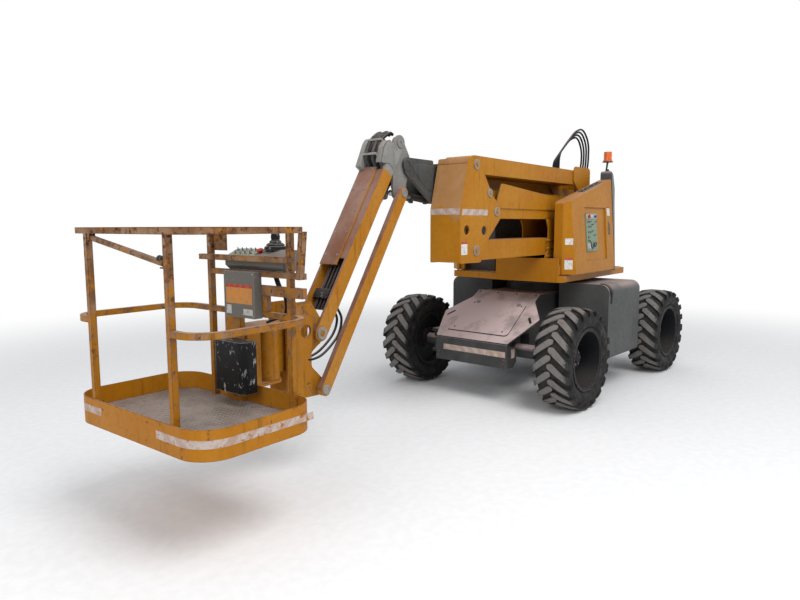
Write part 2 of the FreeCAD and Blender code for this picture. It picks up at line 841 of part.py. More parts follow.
def turret_deck():
    right_front = HINGE_X[-1] + 40
    plan = [(-S.deck_tail, -S.weight_half + 30, 40), (-S.deck_tail + 150, -S.deck_half, 60),
            (right_front, -S.deck_half, 60), (right_front, S.nose_right - 350, 60),
            (S.deck_front, S.nose_right, 30), (S.deck_front, S.nose_left, 30),
            (S.deck_front - 60, S.deck_half, 40), (-S.deck_tail + 150, S.deck_half, 60),
            (-S.deck_tail, S.weight_half - 30, 40)]
    pieces = [slab("z", plan, DECK_BOTTOM, S.deck_top),
              block((S.deck_front - S.upright_wall, S.nose_right, S.deck_top),
                    (S.deck_front, S.nose_left, S.nose_top))]
    for side in (1, -1):
        pieces.append(bar("z", (HINGE_X[side], HINGE_Y * side, S.deck_top - 10),
                          S.hinge_height, S.hinge_pin))
    return fuse(*pieces)


node("turret_deck", turret_deck())

ARM_HALF = S.pylon_half - S.plate_wall - S.arm_side_gap
UPRIGHT_INNER = S.pylon_half - S.plate_wall
LOWER_PIVOT = (S.lower_pivot_x, S.lower_pivot_z)
TIE_PIVOT = (S.lower_pivot_x - S.tie_back, S.lower_pivot_z + S.tie_rise)
RAM_BASE = (S.arm_ram_base_x, S.arm_ram_base_z)


def lane(centre, low, high, side=1):
    """The two faces, in Y, of a plate that lies beside a centre line."""
    if side > 0:
        return centre + low, centre + high
    return centre - high, centre - low


def turret_uprights():
    tail, top = -S.upright_tail, S.upright_top
    front, waist = S.upright_front, S.upright_front - 65
    outline = [(tail, S.deck_top), (front, S.deck_top), (front, S.deck_top + 190, 15),
               (waist, S.deck_top + 270, 60), (waist, top - 90, 60), (front - 10, top, 15),
               (LOWER_PIVOT[0] + 150, top, 90), (LOWER_PIVOT[0] - 150, TIE_PIVOT[1] + 115, 60),
               (tail, TIE_PIVOT[1] + 115, 60)]
    pieces = []
    for side in (1, -1):
        low, high = lane(S.arm_centre, UPRIGHT_INNER, UPRIGHT_INNER + S.upright_plate, side)
        pieces.append(slab("y", outline, low, high))
        low, high = lane(S.arm_centre, S.ram_lane, UPRIGHT_INNER + S.upright_plate, side)
        pieces.append(bar("y", (LOWER_PIVOT[0], low, LOWER_PIVOT[1]), high - low, S.lower_pin))
        low, high = lane(S.arm_centre, 58, 78, side)
        pieces.append(slab("y", [(RAM_BASE[0] - 60, S.deck_top), (RAM_BASE[0] + 60, S.deck_top),
                                 (RAM_BASE[0] + 38, RAM_BASE[1] + 38, 36),
                                 (RAM_BASE[0] - 38, RAM_BASE[1] + 38, 36)], low, high))
    whole = S.arm_centre - UPRIGHT_INNER - S.upright_plate
    width = (UPRIGHT_INNER + S.upright_plate) * 2
    pieces.append(bar("y", (TIE_PIVOT[0], whole, TIE_PIVOT[1]), width, S.tie_pin))
    pieces.append(bar("y", (RAM_BASE[0], S.arm_centre - 78, RAM_BASE[1]), 156, S.ram_pin))
    return fuse(*pieces)


node("turret_uprights", turret_uprights())


def counterweight():
    """A cast block with a round back about the slewing axis."""
    apex = S.tail_radius * S.tail_radius / (S.weight_front + 60)
    return slab("z", [(-S.weight_front, -S.weight_half, 10), (-S.weight_front, S.weight_half, 10),
                      (-S.weight_front - 60, S.weight_half), (-apex, 0, S.tail_radius - 6),
                      (-S.weight_front - 60, -S.weight_half)], S.deck_top, S.weight_top)


node("counterweight", counterweight())


def canopy(inset, front, rear, inner, low, eaves, ridge, face, chamfer):
    """A leaning outer face under a sloping roof, cut by a plan outline. All faces move in by inset."""
    top_face = face - S.cover_lean
    side_on = slab("x", [(inner, low), (face - inset, low), (top_face - inset, ridge + 20),
                         (inner, ridge + 20)], rear - 10, front + 10)
    profile = slab("y", [(rear + inset, low), (front - inset, low), (front - inset, eaves - inset, 40),
                         (rear + inset, ridge - inset, 20)], inner - 10, face + 10)
    plan = slab("z", [(rear + inset, inner), (front - inset, inner),
                      (front - inset, face - chamfer - inset * 0.7, 10),
                      (front - chamfer * 0.8 - inset * 0.7, face - inset, 10),
                      (rear + inset, face - inset)], low, ridge + 20)
    return boolean("Part::MultiCommon", "Canopy", [side_on, profile, plan])


def cover(front, panelled):
    """A hinged hollow cover, open below and towards the arms."""
    args = (front, -S.cover_rear)
    outer = canopy(size(0), *args, S.cover_inner, COVER_BOTTOM, COVER_EAVES, S.cover_ridge,
                   S.cover_face, S.cover_chamfer)
    inner = canopy(S.cover_wall, *args, S.cover_inner - 1, COVER_BOTTOM - 1, COVER_EAVES,
                   S.cover_ridge, S.cover_face, S.cover_chamfer)
    tools = [inner]
    if panelled:
        lean = S.cover_lean / (S.cover_ridge + 20 - COVER_BOTTOM)
        low, high = S.recess_bottom, S.recess_top
        depth = S.cover_face - S.recess_depth
        tools.append(slab("x", [(depth - lean * (low - COVER_BOTTOM), low), (S.cover_face + 20, low),
                                (S.cover_face + 20, high), (depth - lean * (high - COVER_BOTTOM), high)],
                          S.recess_rear, S.recess_front))
    shell = cut(outer, *tools)
    hinge_x = front + S.hinge_out
    barrel = cut(fuse(bar("z", (hinge_x, HINGE_Y, COVER_BOTTOM), S.hinge_barrel, S.hinge_pin * 2),
                      block((front - S.cover_wall, HINGE_Y - 10, COVER_BOTTOM),
                            (hinge_x, HINGE_Y + 10, COVER_BOTTOM + S.hinge_barrel))),
                 bar("z", (hinge_x, HINGE_Y, COVER_BOTTOM - 1), S.hinge_barrel + 2,
                     S.hinge_pin + S.running_fit))
    return fuse(shell, barrel)


node("cover_left", cover(S.cover_front, True))
node("cover_right", mirrored(cover(S.right_cover_front, False), SIDE))


def control_panel():
    """The ground control panel, seated in the recess of the left cover."""
    lean = S.cover_lean / (S.cover_ridge + 20 - COVER_BOTTOM)
    low, high = S.panel_bottom, S.panel_top
    seat = S.cover_face - S.recess_depth + S.seat_gap
    back_low, back_high = seat - lean * (low - COVER_BOTTOM), seat - lean * (high - COVER_BOTTOM)
    return slab("x", [(back_low, low), (back_low + 10, low), (back_high + 10, high), (back_high, high)],
                S.panel_rear, S.panel_front)


node("control_panel", control_panel())


def rear_covers():
    """Fixed housings behind the hinged covers, on both sides."""
    front = -S.cover_rear - S.cover_gap
    pieces = []
    for side, inner in ((1, S.cover_inner), (-1, S.right_tail_inner)):
        shell = boolean("Part::MultiCommon", "Tail", [
            slab("x", [(inner, S.deck_top), (S.cover_face, S.deck_top),
                       (S.cover_face - S.cover_lean, S.tail_top + 20, 60), (inner, S.tail_top + 20, 20)],
                 -S.tail_end, front),
            slab("y", [(-S.tail_end, S.deck_top), (front, S.deck_top), (front, S.tail_top, 40),
                       (front - 200, S.tail_top, 80), (-S.tail_end + 60, S.tail_top - 170, 60),
                       (-S.tail_end, S.tail_top - 330, 60)], inner - 1, S.cover_face + 1)])
        pieces.append(shell if side > 0 else mirrored(shell, SIDE))
    post = bar("z", (S.beacon_x, S.beacon_y, S.tail_top - 100), S.beacon_rise + 100, 12)
    return fuse(*pieces, post)


node("rear_covers", rear_covers())
BEACON_FOOT = S.tail_top + S.beacon_rise
node("beacon", fuse(
    bar("z", (S.beacon_x, S.beacon_y, BEACON_FOOT + S.seat_gap), S.beacon_base, S.beacon_radius + 6),
    bar("z", (S.beacon_x, S.beacon_y, BEACON_FOOT + S.beacon_base), S.beacon_height, S.beacon_radius)))
node("engine_block", block((-S.engine_rear, -S.engine_outer, S.deck_top),
                           (S.engine_front, -S.engine_inner, COVER_EAVES - S.engine_gap)))

# Arms: two parallelograms over each other, joined by the front pylon.
LOWER_TIP = (LOWER_PIVOT[0] + S.lower_reach, LOWER_PIVOT[1])
TIE_TIP = (TIE_PIVOT[0] + S.lower_reach, TIE_PIVOT[1])
UPPER_TIP = (S.upper_front_x, S.upper_pin_z)
UPPER_ROOT = (UPPER_TIP[0] - S.upper_reach, UPPER_TIP[1])
UPPER_TIE_TIP = (UPPER_TIP[0] - S.upper_tie_back, UPPER_TIP[1] - S.upper_tie_drop)
UPPER_TIE_ROOT = (UPPER_TIE_TIP[0] - S.upper_reach, UPPER_TIE_TIP[1])
RAM_EYE = (S.arm_ram_eye_x, S.arm_ram_eye_z)


def beam(root, tip, depth, half, pin):
    """A round-ended beam on the arms' centre line, bored for the pins at its two ends."""
    end = depth / 2
    low, high = lane(S.arm_centre, -half, half)
    bore = pin + S.running_fit
    outline = rounded_beam(root[0] - end, tip[0] + end, root[1] - end, root[1] + end)
    return slab("y", outline, low, high, holes=[(*root, bore), (*tip, bore)])


def lower_arm():
    body = beam(LOWER_PIVOT, LOWER_TIP, S.lower_depth, ARM_HALF, S.lower_pin)
    end = S.lower_depth / 2
    slot = block((LOWER_PIVOT[0] - end - 5, S.arm_centre - S.ram_lane, LOWER_PIVOT[1] - end - 5),
                 (LOWER_PIVOT[0] + S.fork_length, S.arm_centre + S.ram_lane, LOWER_PIVOT[1] + end + 5))
    return cut(body, slot)


def lower_tie():
    """A beam with a wedge-shaped rib along each side and the lugs of the arms' cylinder below."""
    body = beam(TIE_PIVOT, TIE_TIP, S.tie_depth, S.tie_half, S.tie_pin)
    top = TIE_PIVOT[1] + S.tie_depth / 2
    pieces = [body]
    for side in (1, -1):
        low, high = lane(S.arm_centre, S.tie_half, ARM_HALF, side)
        pieces.append(slab("y", [(TIE_TIP[0] - 1460, top - 28), (TIE_TIP[0] + 10, top - 28),
                                 (TIE_TIP[0] - 10, top - 10, 15), (TIE_TIP[0] - 120, top + 200, 30),
                                 (TIE_TIP[0] - 1460, top + 90, 60)], low, high))
        low, high = lane(S.arm_centre, S.ram_eye_half + 8, S.ram_eye_half + 22, side)
        pieces.append(slab("y", [(RAM_EYE[0] - 34, RAM_EYE[1] - 34, 32),
                                 (RAM_EYE[0] + 34, RAM_EYE[1] - 34, 32),
                                 (RAM_EYE[0] + 70, top - 60), (RAM_EYE[0] - 70, top - 60)], low, high))
        low, high = lane(S.arm_centre, S.ram_eye_half + 5, S.ram_eye_half + 22, side)
        pieces.append(bar("y", (RAM_EYE[0], low, RAM_EYE[1]), high - low, S.ram_pin))
    return fuse(*pieces)


def front_pylon():
    """Two side plates round the ends of the arms, with a front web and a top web."""
    base, top = S.pylon_bottom, S.pylon_top
    front, top_x = S.pylon_front, S.pylon_top_x
    outline = [(LOWER_TIP[0] - 84, base - 4, 40), (front, base, 15), (front, S.pylon_bend, 80),
               (top_x, top, 15), (UPPER_TIP[0] - 45, top - 10, 30),
               (UPPER_TIE_TIP[0] - 45, UPPER_TIE_TIP[1] - 20, 50),
               (TIE_TIP[0] - 72, TIE_TIP[1] + 50, 50), (TIE_TIP[0] - 72, TIE_TIP[1] - 60, 60),
               (LOWER_TIP[0] - 172, LOWER_TIP[1] + 68, 50)]
    pieces = []
    for side in (1, -1):
        low, high = lane(S.arm_centre, UPRIGHT_INNER, S.pylon_half, side)
        pieces.append(slab("y", outline, low, high,
                           holes=[(S.pylon_hole_x, S.pylon_hole_z, S.pylon_hole),
                                  (S.pylon_hole_x - 283, S.pylon_hole_z - 7, S.pylon_hole)]))
    low, high = lane(S.arm_centre, -UPRIGHT_INNER, UPRIGHT_INNER)
    wall = S.plate_wall
    pieces.append(slab("y", [(front - wall, base + 6), (front, base + 6), (front, S.pylon_bend),
                             (top_x, top), (top_x - 40, top), (top_x - 40, top - wall),
                             (top_x - wall, top - wall), (front - wall, S.pylon_bend)], low, high))
    for point, radius in ((LOWER_TIP, S.lower_pin), (TIE_TIP, S.tie_pin), (UPPER_TIP, S.upper_pin),
                          (UPPER_TIE_TIP, S.upper_tie_pin)):
        pieces.append(bar("y", (point[0], S.arm_centre - S.pylon_half - S.cap_rise, point[1]),
                          (S.pylon_half + S.cap_rise) * 2, radius))
    return fuse(*pieces)


node("lower_arm", lower_arm())
node("lower_tie", lower_tie())
node("front_pylon", front_pylon())
node("upper_arm", beam(UPPER_ROOT, UPPER_TIP, S.upper_depth, ARM_HALF, S.upper_pin))
node("upper_tie", beam(UPPER_TIE_ROOT, UPPER_TIE_TIP, S.upper_tie_depth, S.upper_tie_half,
                       S.upper_tie_pin))

# Rear knuckle and boom
BOOM_HALF = S.boom_width / 2
CHEEK = BOOM_HALF + S.arm_side_gap
BOOM_PIVOT = (S.boom_pivot_x, S.boom_pivot_z)
BOOM_RAM_BASE = (S.boom_ram_base_x, S.boom_ram_base_z)
BOOM_RAM_EYE = (S.boom_ram_eye_x, S.boom_ram_eye_z)
BOOM_BOTTOM = S.boom_axis_z - S.boom_height / 2


def rear_knuckle():
    """Cheeks on both sides of the boom, and a third plate beyond the arms."""
    back, top = BOOM_PIVOT[0] - 75, UPPER_ROOT[1] + 120
    low_tip = BOOM_RAM_BASE[1] - 60
    cheek = [(back, BOOM_PIVOT[1] - 95, 40), (BOOM_RAM_BASE[0] - 60, low_tip, 55),
             (BOOM_RAM_BASE[0] + 62, low_tip, 55), (BOOM_RAM_BASE[0] + 62, BOOM_RAM_BASE[1] + 60, 40)]
    right = cheek + [(BOOM_PIVOT[0] + 100, BOOM_PIVOT[1] + 85, 50), (back, BOOM_PIVOT[1] + 85, 50)]
    arms = [(UPPER_TIE_ROOT[0] - 45, UPPER_TIE_ROOT[1] - 60, 40),
            (UPPER_TIE_ROOT[0] + 50, UPPER_TIE_ROOT[1] - 60, 40),
            (UPPER_ROOT[0] + 160, UPPER_ROOT[1] - 50, 50), (UPPER_ROOT[0] + 160, top, 50),
            (UPPER_ROOT[0] - 280, top, 50)]
    middle = cheek + arms + [(back, BOOM_PIVOT[1] + 85, 50)]
    outer_high = S.arm_centre + S.pylon_half
    right_low = S.boom_centre - CHEEK - S.cheek_wall
    middle_low, middle_high = lane(S.boom_centre, CHEEK, CHEEK + S.plate_wall)
    inner_face = S.arm_centre + UPRIGHT_INNER
    pieces = [slab("y", right, right_low, right_low + S.cheek_wall),
              slab("y", middle, middle_low, middle_high),
              slab("y", arms[:4] + [(UPPER_TIE_ROOT[0] - 50, top, 50)], inner_face, outer_high),
              block((UPPER_TIE_ROOT[0] - 45, middle_high, UPPER_ROOT[1] - 110),
                    (UPPER_TIE_ROOT[0] + 5, inner_face, top - 20)),
              block((BOOM_RAM_BASE[0] - 140, right_low + S.cheek_wall, BOOM_RAM_BASE[1] + 20),
                    (BOOM_RAM_BASE[0] - 90, middle_low, BOOM_BOTTOM - 30))]
    for point, start, end, radius in ((UPPER_ROOT, middle_low, outer_high, S.upper_pin),
                                      (UPPER_TIE_ROOT, middle_low, outer_high, S.upper_tie_pin),
                                      (BOOM_PIVOT, right_low, middle_high, S.boom_pin),
                                      (BOOM_RAM_BASE, right_low, middle_high, S.ram_pin)):
        pieces.append(bar("y", (point[0], start, point[1]), end - start, radius))
    return fuse(*pieces)


node("rear_knuckle", rear_knuckle())
TUBE_TAIL = BOOM_PIVOT[0] - S.boom_tail
INNER_HALF = BOOM_HALF - S.boom_wall - S.inner_gap
INNER_RISE = S.boom_height / 2 - S.boom_wall - S.inner_gap
INNER_TAIL = BOOM_PIVOT[0] + S.inner_tail


def tube(x0, x1, half, rise, wall):
    """A square tube along X on the boom's axis."""
    def core(inset, x_low, x_high):
        return block((x_low, S.boom_centre - half + inset, S.boom_axis_z - rise + inset),
                     (x_high, S.boom_centre + half - inset, S.boom_axis_z + rise - inset))
    return cut(core(0, x0, x1), core(wall, x0 - 1, x1 + 1))


def boom_outer():
    body = tube(TUBE_TAIL, S.boom_mouth, BOOM_HALF, S.boom_height / 2, S.boom_wall)
    bored = cut(body, bar("y", (BOOM_PIVOT[0], S.boom_centre - BOOM_HALF - 1, BOOM_PIVOT[1]),
                          S.boom_width + 2, S.boom_pin + S.running_fit))
    pieces = [bored]
    pad = S.inner_gap - S.seat_gap
    rise, wall = S.boom_height / 2, S.boom_wall
    for x in (S.boom_mouth - S.pad_length, S.boom_mouth - S.pad_length * 6):
        for sign in (1, -1):
            z0, z1 = (rise - wall - pad, rise - wall) if sign > 0 else (wall - rise, wall + pad - rise)
            pieces.append(block((x, S.boom_centre - 60, S.boom_axis_z + z0),
                                (x + S.pad_length, S.boom_centre + 60, S.boom_axis_z + z1)))
            y0, y1 = ((BOOM_HALF - wall - pad, BOOM_HALF - wall) if sign > 0
                      else (wall - BOOM_HALF, wall + pad - BOOM_HALF))
            pieces.append(block((x, S.boom_centre + y0, S.boom_axis_z - 80),
                                (x + S.pad_length, S.boom_centre + y1, S.boom_axis_z + 80)))
    for sign in (1, -1):
        low, high = lane(S.boom_centre, S.ram_eye_half + 8, S.ram_eye_half + 22, sign)
        eye = BOOM_RAM_EYE
        pieces.append(slab("y", [(eye[0] - 34, eye[1] - 34, 32), (eye[0] + 34, eye[1] - 34, 32),
                                 (eye[0] + 90, BOOM_BOTTOM), (eye[0] - 90, BOOM_BOTTOM)], low, high))
        low, high = lane(S.boom_centre, S.ram_eye_half + 5, S.ram_eye_half + 22, sign)
        pieces.append(bar("y", (eye[0], low, eye[1]), high - low, S.ram_pin))
    return fuse(*pieces)


def boom_inner():
    """The sliding tube, ending in a fork that carries the jib head."""
    notch_start = S.boom_mouth + 35
    tube_end = HEAD_REAR + 15
    body = cut(tube(INNER_TAIL, tube_end, INNER_HALF, INNER_RISE, S.inner_wall),
               block((notch_start, S.boom_centre - 40, S.boom_axis_z - INNER_RISE - 5),
                     (tube_end + 1, S.boom_centre + 40, S.boom_axis_z)))
    rear, low = HEAD_REAR, S.head_bottom
    top = HEAD_PIVOT[1] + S.head_nose
    cheek = [(rear, top, 15), (rear, low, 15), (rear + 30, low, 10),
             (HEAD_PIVOT[0] + 25, HEAD_PIVOT[1] - S.head_nose - 5, 45),
             (HEAD_PIVOT[0] + S.head_nose, top, 58)]
    pieces = [body]
    for side in (1, -1):
        y0, y1 = lane(S.boom_centre, INNER_HALF - S.inner_wall / 2, S.head_half, side)
        pieces.append(slab("y", cheek, y0, y1))
        y0, y1 = lane(S.boom_centre, S.level_half + 8, S.level_half + 20, side)
        pieces.append(slab("y", [(LEVEL_BASE[0] - 28, LEVEL_BASE[1] - 28, 26),
                                 (LEVEL_BASE[0] + 28, LEVEL_BASE[1] - 28, 26),
                                 (LEVEL_BASE[0] + 40, S.boom_axis_z - INNER_RISE + 4),
                                 (LEVEL_BASE[0] - 40, S.boom_axis_z - INNER_RISE + 4)], y0, y1))
    pieces.append(bar("y", (HEAD_PIVOT[0], S.boom_centre - S.head_half, HEAD_PIVOT[1]), S.head_half * 2,
                      S.boom_pin))
    pieces.append(bar("y", (LEVEL_BASE[0], S.boom_centre - S.level_half - 20, LEVEL_BASE[1]),
                      S.level_half * 2 + 40, S.level_pin))
    return fuse(*pieces)


node("boom_outer", boom_outer())
node("boom_inner", boom_inner())

# Jib
HEAD_INNER = S.head_half - S.head_wall - S.arm_side_gap
TIE_LANE = (S.jib_half + S.jib_tie_gap, S.jib_half + S.jib_tie_gap + S.jib_tie_width)


def jib_head():
    """Two plates between the boom's fork, carrying the jib arm, its tie and two cylinders."""
    up, low = JIB_UP, JIB_LOW
    outline = [(up[0] - 55, up[1] + 50, 45), (up[0] + 50, up[1] + 45, 45), (up[0] + 55, up[1] - 70, 60),
               (low[0] + 48, low[1] + 90, 60), (low[0] + 46, low[1] - 46, 45),
               (LEVEL_EYE[0] - 36, low[1] - 46, 40),
               (LEVEL_EYE[0] - 40, LEVEL_EYE[1] + 30, 40), (HEAD_PIVOT[0] - 62, HEAD_PIVOT[1] - 50, 50),
               (HEAD_PIVOT[0] - 62, HEAD_PIVOT[1] + 70, 60)]
    pieces = []
    face = HEAD_INNER
    root = face - S.head_plate
    for side in (1, -1):
        y0, y1 = lane(S.boom_centre, root, face, side)
        pieces.append(slab("y", outline, y0, y1, holes=[(*HEAD_PIVOT, S.jib_boss)]))
        y0, y1 = lane(S.boom_centre, root, S.jib_half + 2, side)
        pieces.append(bar("y", (up[0], y0, up[1]), y1 - y0, S.jib_pin))
        y0, y1 = lane(S.boom_centre, S.jib_half + 1, S.jib_half + 8, side)
        pieces.append(cut(bar("y", (up[0], y0, up[1]), y1 - y0, S.pin_head),
                          bar("y", (up[0], y0, up[1]), y1 - y0, S.jib_pin * 0.5)))
        y0, y1 = lane(S.boom_centre, S.level_half + 6, root, side)
        pieces.append(bar("y", (LEVEL_EYE[0], y0, LEVEL_EYE[1]), y1 - y0, S.level_pin))
    y0, y1 = S.boom_centre - face, S.boom_centre + face
    pieces.append(cut(bar("y", (HEAD_PIVOT[0], y0, HEAD_PIVOT[1]), y1 - y0, S.jib_boss),
                      bar("y", (HEAD_PIVOT[0], y0 - 1, HEAD_PIVOT[1]), y1 - y0 + 2,
                          S.boom_pin + S.running_fit)))
    y0, y1 = S.boom_centre - root, S.boom_centre + root
    pieces.append(bar("y", (JIB_RAM_BASE[0], y0, JIB_RAM_BASE[1]), y1 - y0, S.level_pin))
    x, z = HEAD_PIVOT
    pieces.append(block((x - 20, y0, z + 100), (x + 40, y1, z + 118)))
    pieces.append(block((x - 40, y0, z - 180), (x - 22, y1, z - 70)))
    pieces.append(bar("y", (low[0], S.boom_centre + root, low[1]), TIE_LANE[1] - root, S.jib_pin))
    return fuse(*pieces)


node("jib_head", jib_head())
JIB_TURN = Rotation(Vector(0, 1, 0), S.jib_angle.value)


def along_jib(body, pivot):
    """Turns a piece that was laid out along +X from the origin down to the jib's slope."""
    group = DOC.addObject("Part::Compound", "OnJib")
    group.Links = [body]
    move(group, pivot[0], 0, pivot[1], turn=JIB_TURN)
    bind(group, "Placement.Rotation.Angle", S.jib_angle)
    return group


def jib_arm():
    """A channel of two side plates, a floor and a bolted cover."""
    depth, half, wall = S.jib_depth / 2, S.jib_half, S.jib_wall
    plate_low = S.jib_half - S.jib_wall * 2
    bore = S.jib_pin + S.running_fit
    pieces = []
    for side in (1, -1):
        low, high = lane(S.boom_centre, plate_low, half, side)
        pieces.append(slab("y", rounded_beam(-depth, S.jib_reach + depth, -depth, depth), low, high,
                           holes=[(0, 0, bore), (S.jib_reach, 0, bore)]))
        low, high = lane(S.boom_centre, S.ram_eye_half + 8, S.ram_eye_half + 20, side)
        pieces.append(slab("y", [(S.jib_ram_reach - 30, -S.jib_ram_drop - 32, 28),
                                 (S.jib_ram_reach + 30, -S.jib_ram_drop - 32, 28),
                                 (S.jib_ram_reach + 60, -S.jib_floor_drop),
                                 (S.jib_ram_reach - 60, -S.jib_floor_drop)], low, high))
        low, high = lane(S.boom_centre, S.ram_eye_half + 5, S.ram_eye_half + 20, side)
        pieces.append(bar("y", (S.jib_ram_reach, low, -S.jib_ram_drop), high - low, S.level_pin))
    low, high = lane(S.boom_centre, -plate_low, plate_low)
    pieces.append(block((S.jib_floor_start, low, -S.jib_floor_drop - wall),
                        (S.jib_reach - 190, high, -S.jib_floor_drop)))
    pieces.append(block((S.jib_cover_start, low, depth - wall), (S.jib_cover_end, high, depth)))
    return along_jib(fuse(*pieces), JIB_UP)


def jib_tie():
    half = S.jib_tie_depth / 2
    bore = S.jib_pin + S.running_fit
    low, high = lane(S.boom_centre, *TIE_LANE)
    return along_jib(slab("y", rounded_beam(-half, S.jib_reach + half, -half, half), low, high,
                          holes=[(0, 0, bore), (S.jib_reach, 0, bore)]), JIB_LOW)


def jib_hoses():
    """Hoses along the channel, held between its floor and its cover."""
    pieces = []
    for index in range(4):
        y = S.boom_centre - S.hose_pitch * 1.5 + S.hose_pitch * index
        pieces.append(bar("x", (S.jib_floor_start, y, S.hose_radius + S.seat_gap - S.jib_floor_drop),
                          S.jib_reach - 190 - S.jib_floor_start, S.hose_radius))
    return along_jib(fuse(*pieces), JIB_UP)


node("jib_arm", jib_arm())
node("jib_tie", jib_tie())
node("jib_hoses", jib_hoses())

# Basket and its support
SUPPORT_FACE = HEAD_INNER
SUPPORT_ROOT = SUPPORT_FACE - S.head_plate
TURN_LOW = S.turn_bottom
TURN_HIGH = S.turn_top


def basket_support():
    """Two plates on the ends of the jib, with the housing of the basket's turning pin."""
    up, low = END_UP, END_LOW
    front = TURN_X - S.turn_radius - 15
    outline = [(up[0] - 46, up[1] - 50, 44), (up[0] - 46, up[1] + 60, 50), (up[0] + 80, S.support_top, 30),
               (front, S.support_top, 10), (front, low[1] - 40, 10), (low[0] - 20, low[1] - 52, 46),
               (low[0] - 50, low[1] - 30, 46), (low[0] - 46, low[1] + 60, 30),
               (low[0] + 66, low[1] + 170, 40), (low[0] + 66, up[1] - 130, 40)]
    pieces = []
    for side in (1, -1):
        y0, y1 = lane(S.boom_centre, SUPPORT_ROOT, SUPPORT_FACE, side)
        pieces.append(slab("y", outline, y0, y1, holes=[(up[0] + 130, up[1] + 30, S.support_hole)]))
        y0, y1 = lane(S.boom_centre, SUPPORT_ROOT, S.jib_half + 2, side)
        pieces.append(bar("y", (up[0], y0, up[1]), y1 - y0, S.jib_pin))
        y0, y1 = lane(S.boom_centre, S.jib_half + 1, S.jib_half + 8, side)
        pieces.append(bar("y", (up[0], y0, up[1]), y1 - y0, S.pin_head))
    pieces.append(bar("y", (low[0], S.boom_centre + SUPPORT_ROOT, low[1]),
                      TIE_LANE[1] - SUPPORT_ROOT, S.jib_pin))
    y0, y1 = S.boom_centre - SUPPORT_ROOT, S.boom_centre + SUPPORT_ROOT
    pieces.append(block((front - 60, y0, TURN_LOW + 30), (front - 42, y1, TURN_HIGH - 30)))
    pieces.append(block((front - 50, S.boom_centre - 40, TURN_LOW + 40),
                        (TURN_X, S.boom_centre + 40, TURN_HIGH - 40)))
    housing = bar("z", (TURN_X, S.boom_centre, TURN_LOW), TURN_HIGH - TURN_LOW, S.turn_radius)
    bore = bar("z", (TURN_X, S.boom_centre, TURN_LOW - 1), TURN_HIGH - TURN_LOW + 2,
               S.turn_pin + S.running_fit)
    return cut(fuse(*pieces, housing), bore)


node("basket_support", basket_support())


def basket_carrier():
    """The bracket that turns with the basket round the housing."""
    wall, radius = S.carrier_wall, S.turn_radius + 10
    back = BASKET_REAR - S.seat_gap
    y0, y1 = S.boom_centre - radius, S.boom_centre + radius
    plan = [(TURN_X - radius, y0, radius * 0.98), (back, y0), (back, y1),
            (TURN_X - radius, y1, radius * 0.98)]
    pieces = []
    for z in (TURN_LOW - S.seat_gap - wall, TURN_HIGH + S.seat_gap):
        pieces.append(slab("z", plan, z, z + wall))
    pieces.append(bar("z", (TURN_X, S.boom_centre, TURN_LOW - S.seat_gap - wall),
                      TURN_HIGH - TURN_LOW + S.seat_gap * 2 + wall * 2, S.turn_pin))
    for y in (y0, y1 - wall):
        pieces.append(block((back - 110, y, TURN_LOW - S.seat_gap - wall),
                            (back, y + wall, TURN_HIGH + S.seat_gap + wall)))
    return fuse(*pieces)


node("basket_carrier", basket_carrier())


def basket_plan(inset):
    """The basket's plan outline, moved in by inset."""
    rear, front = BASKET_REAR + inset, BASKET_FRONT - inset
    low, high = S.basket_centre - S.basket_half + inset, S.basket_centre + S.basket_half - inset
    corner = S.basket_corner - inset
    return [(rear, low, corner), (front, low, corner), (front, high, corner), (rear, high, corner)]


def basket_tray():
    """A toe board round a floor plate on two cross members."""
    wall = S.tray_wall
    shell = cut(slab("z", basket_plan(0), S.tray_bottom, S.tray_top),
                slab("z", basket_plan(wall), S.floor_level, S.tray_top + 1),
                slab("z", basket_plan(wall), S.tray_bottom - 1, S.floor_level - wall))
    beams = []
    for x in (BASKET_REAR + 200, BASKET_FRONT - 260):
        beams.append(block((x, S.basket_centre - S.basket_half + wall, S.tray_bottom),
                           (x + 60, S.basket_centre + S.basket_half - wall, S.floor_level - wall)))
    return fuse(shell, *beams)


node("basket_tray", basket_tray())
RAIL_INSET = S.tray_wall + S.seat_gap

# The drop bar's pin stands under the top rail, beside the entry's right post.
BAR_X = BASKET_FRONT - RAIL_INSET - S.rail_tube / 2
BAR_PIVOT = (S.entry_right + S.rail_tube + S.bar_pivot_out, S.rail_top - S.rail_tube - S.bar_pivot_drop)
BAR_RUN = S.entry_left - S.entry_bar_gap - BAR_PIVOT[0]
BAR_REST = BAR_PIVOT[1] - S.entry_bar_drop - S.entry_bar_radius - S.seat_gap


def rail_ring(top):
    return cut(slab("z", basket_plan(RAIL_INSET), top - S.rail_tube, top),
               slab("z", basket_plan(RAIL_INSET + S.rail_tube), top - S.rail_tube - 1, top + 1))


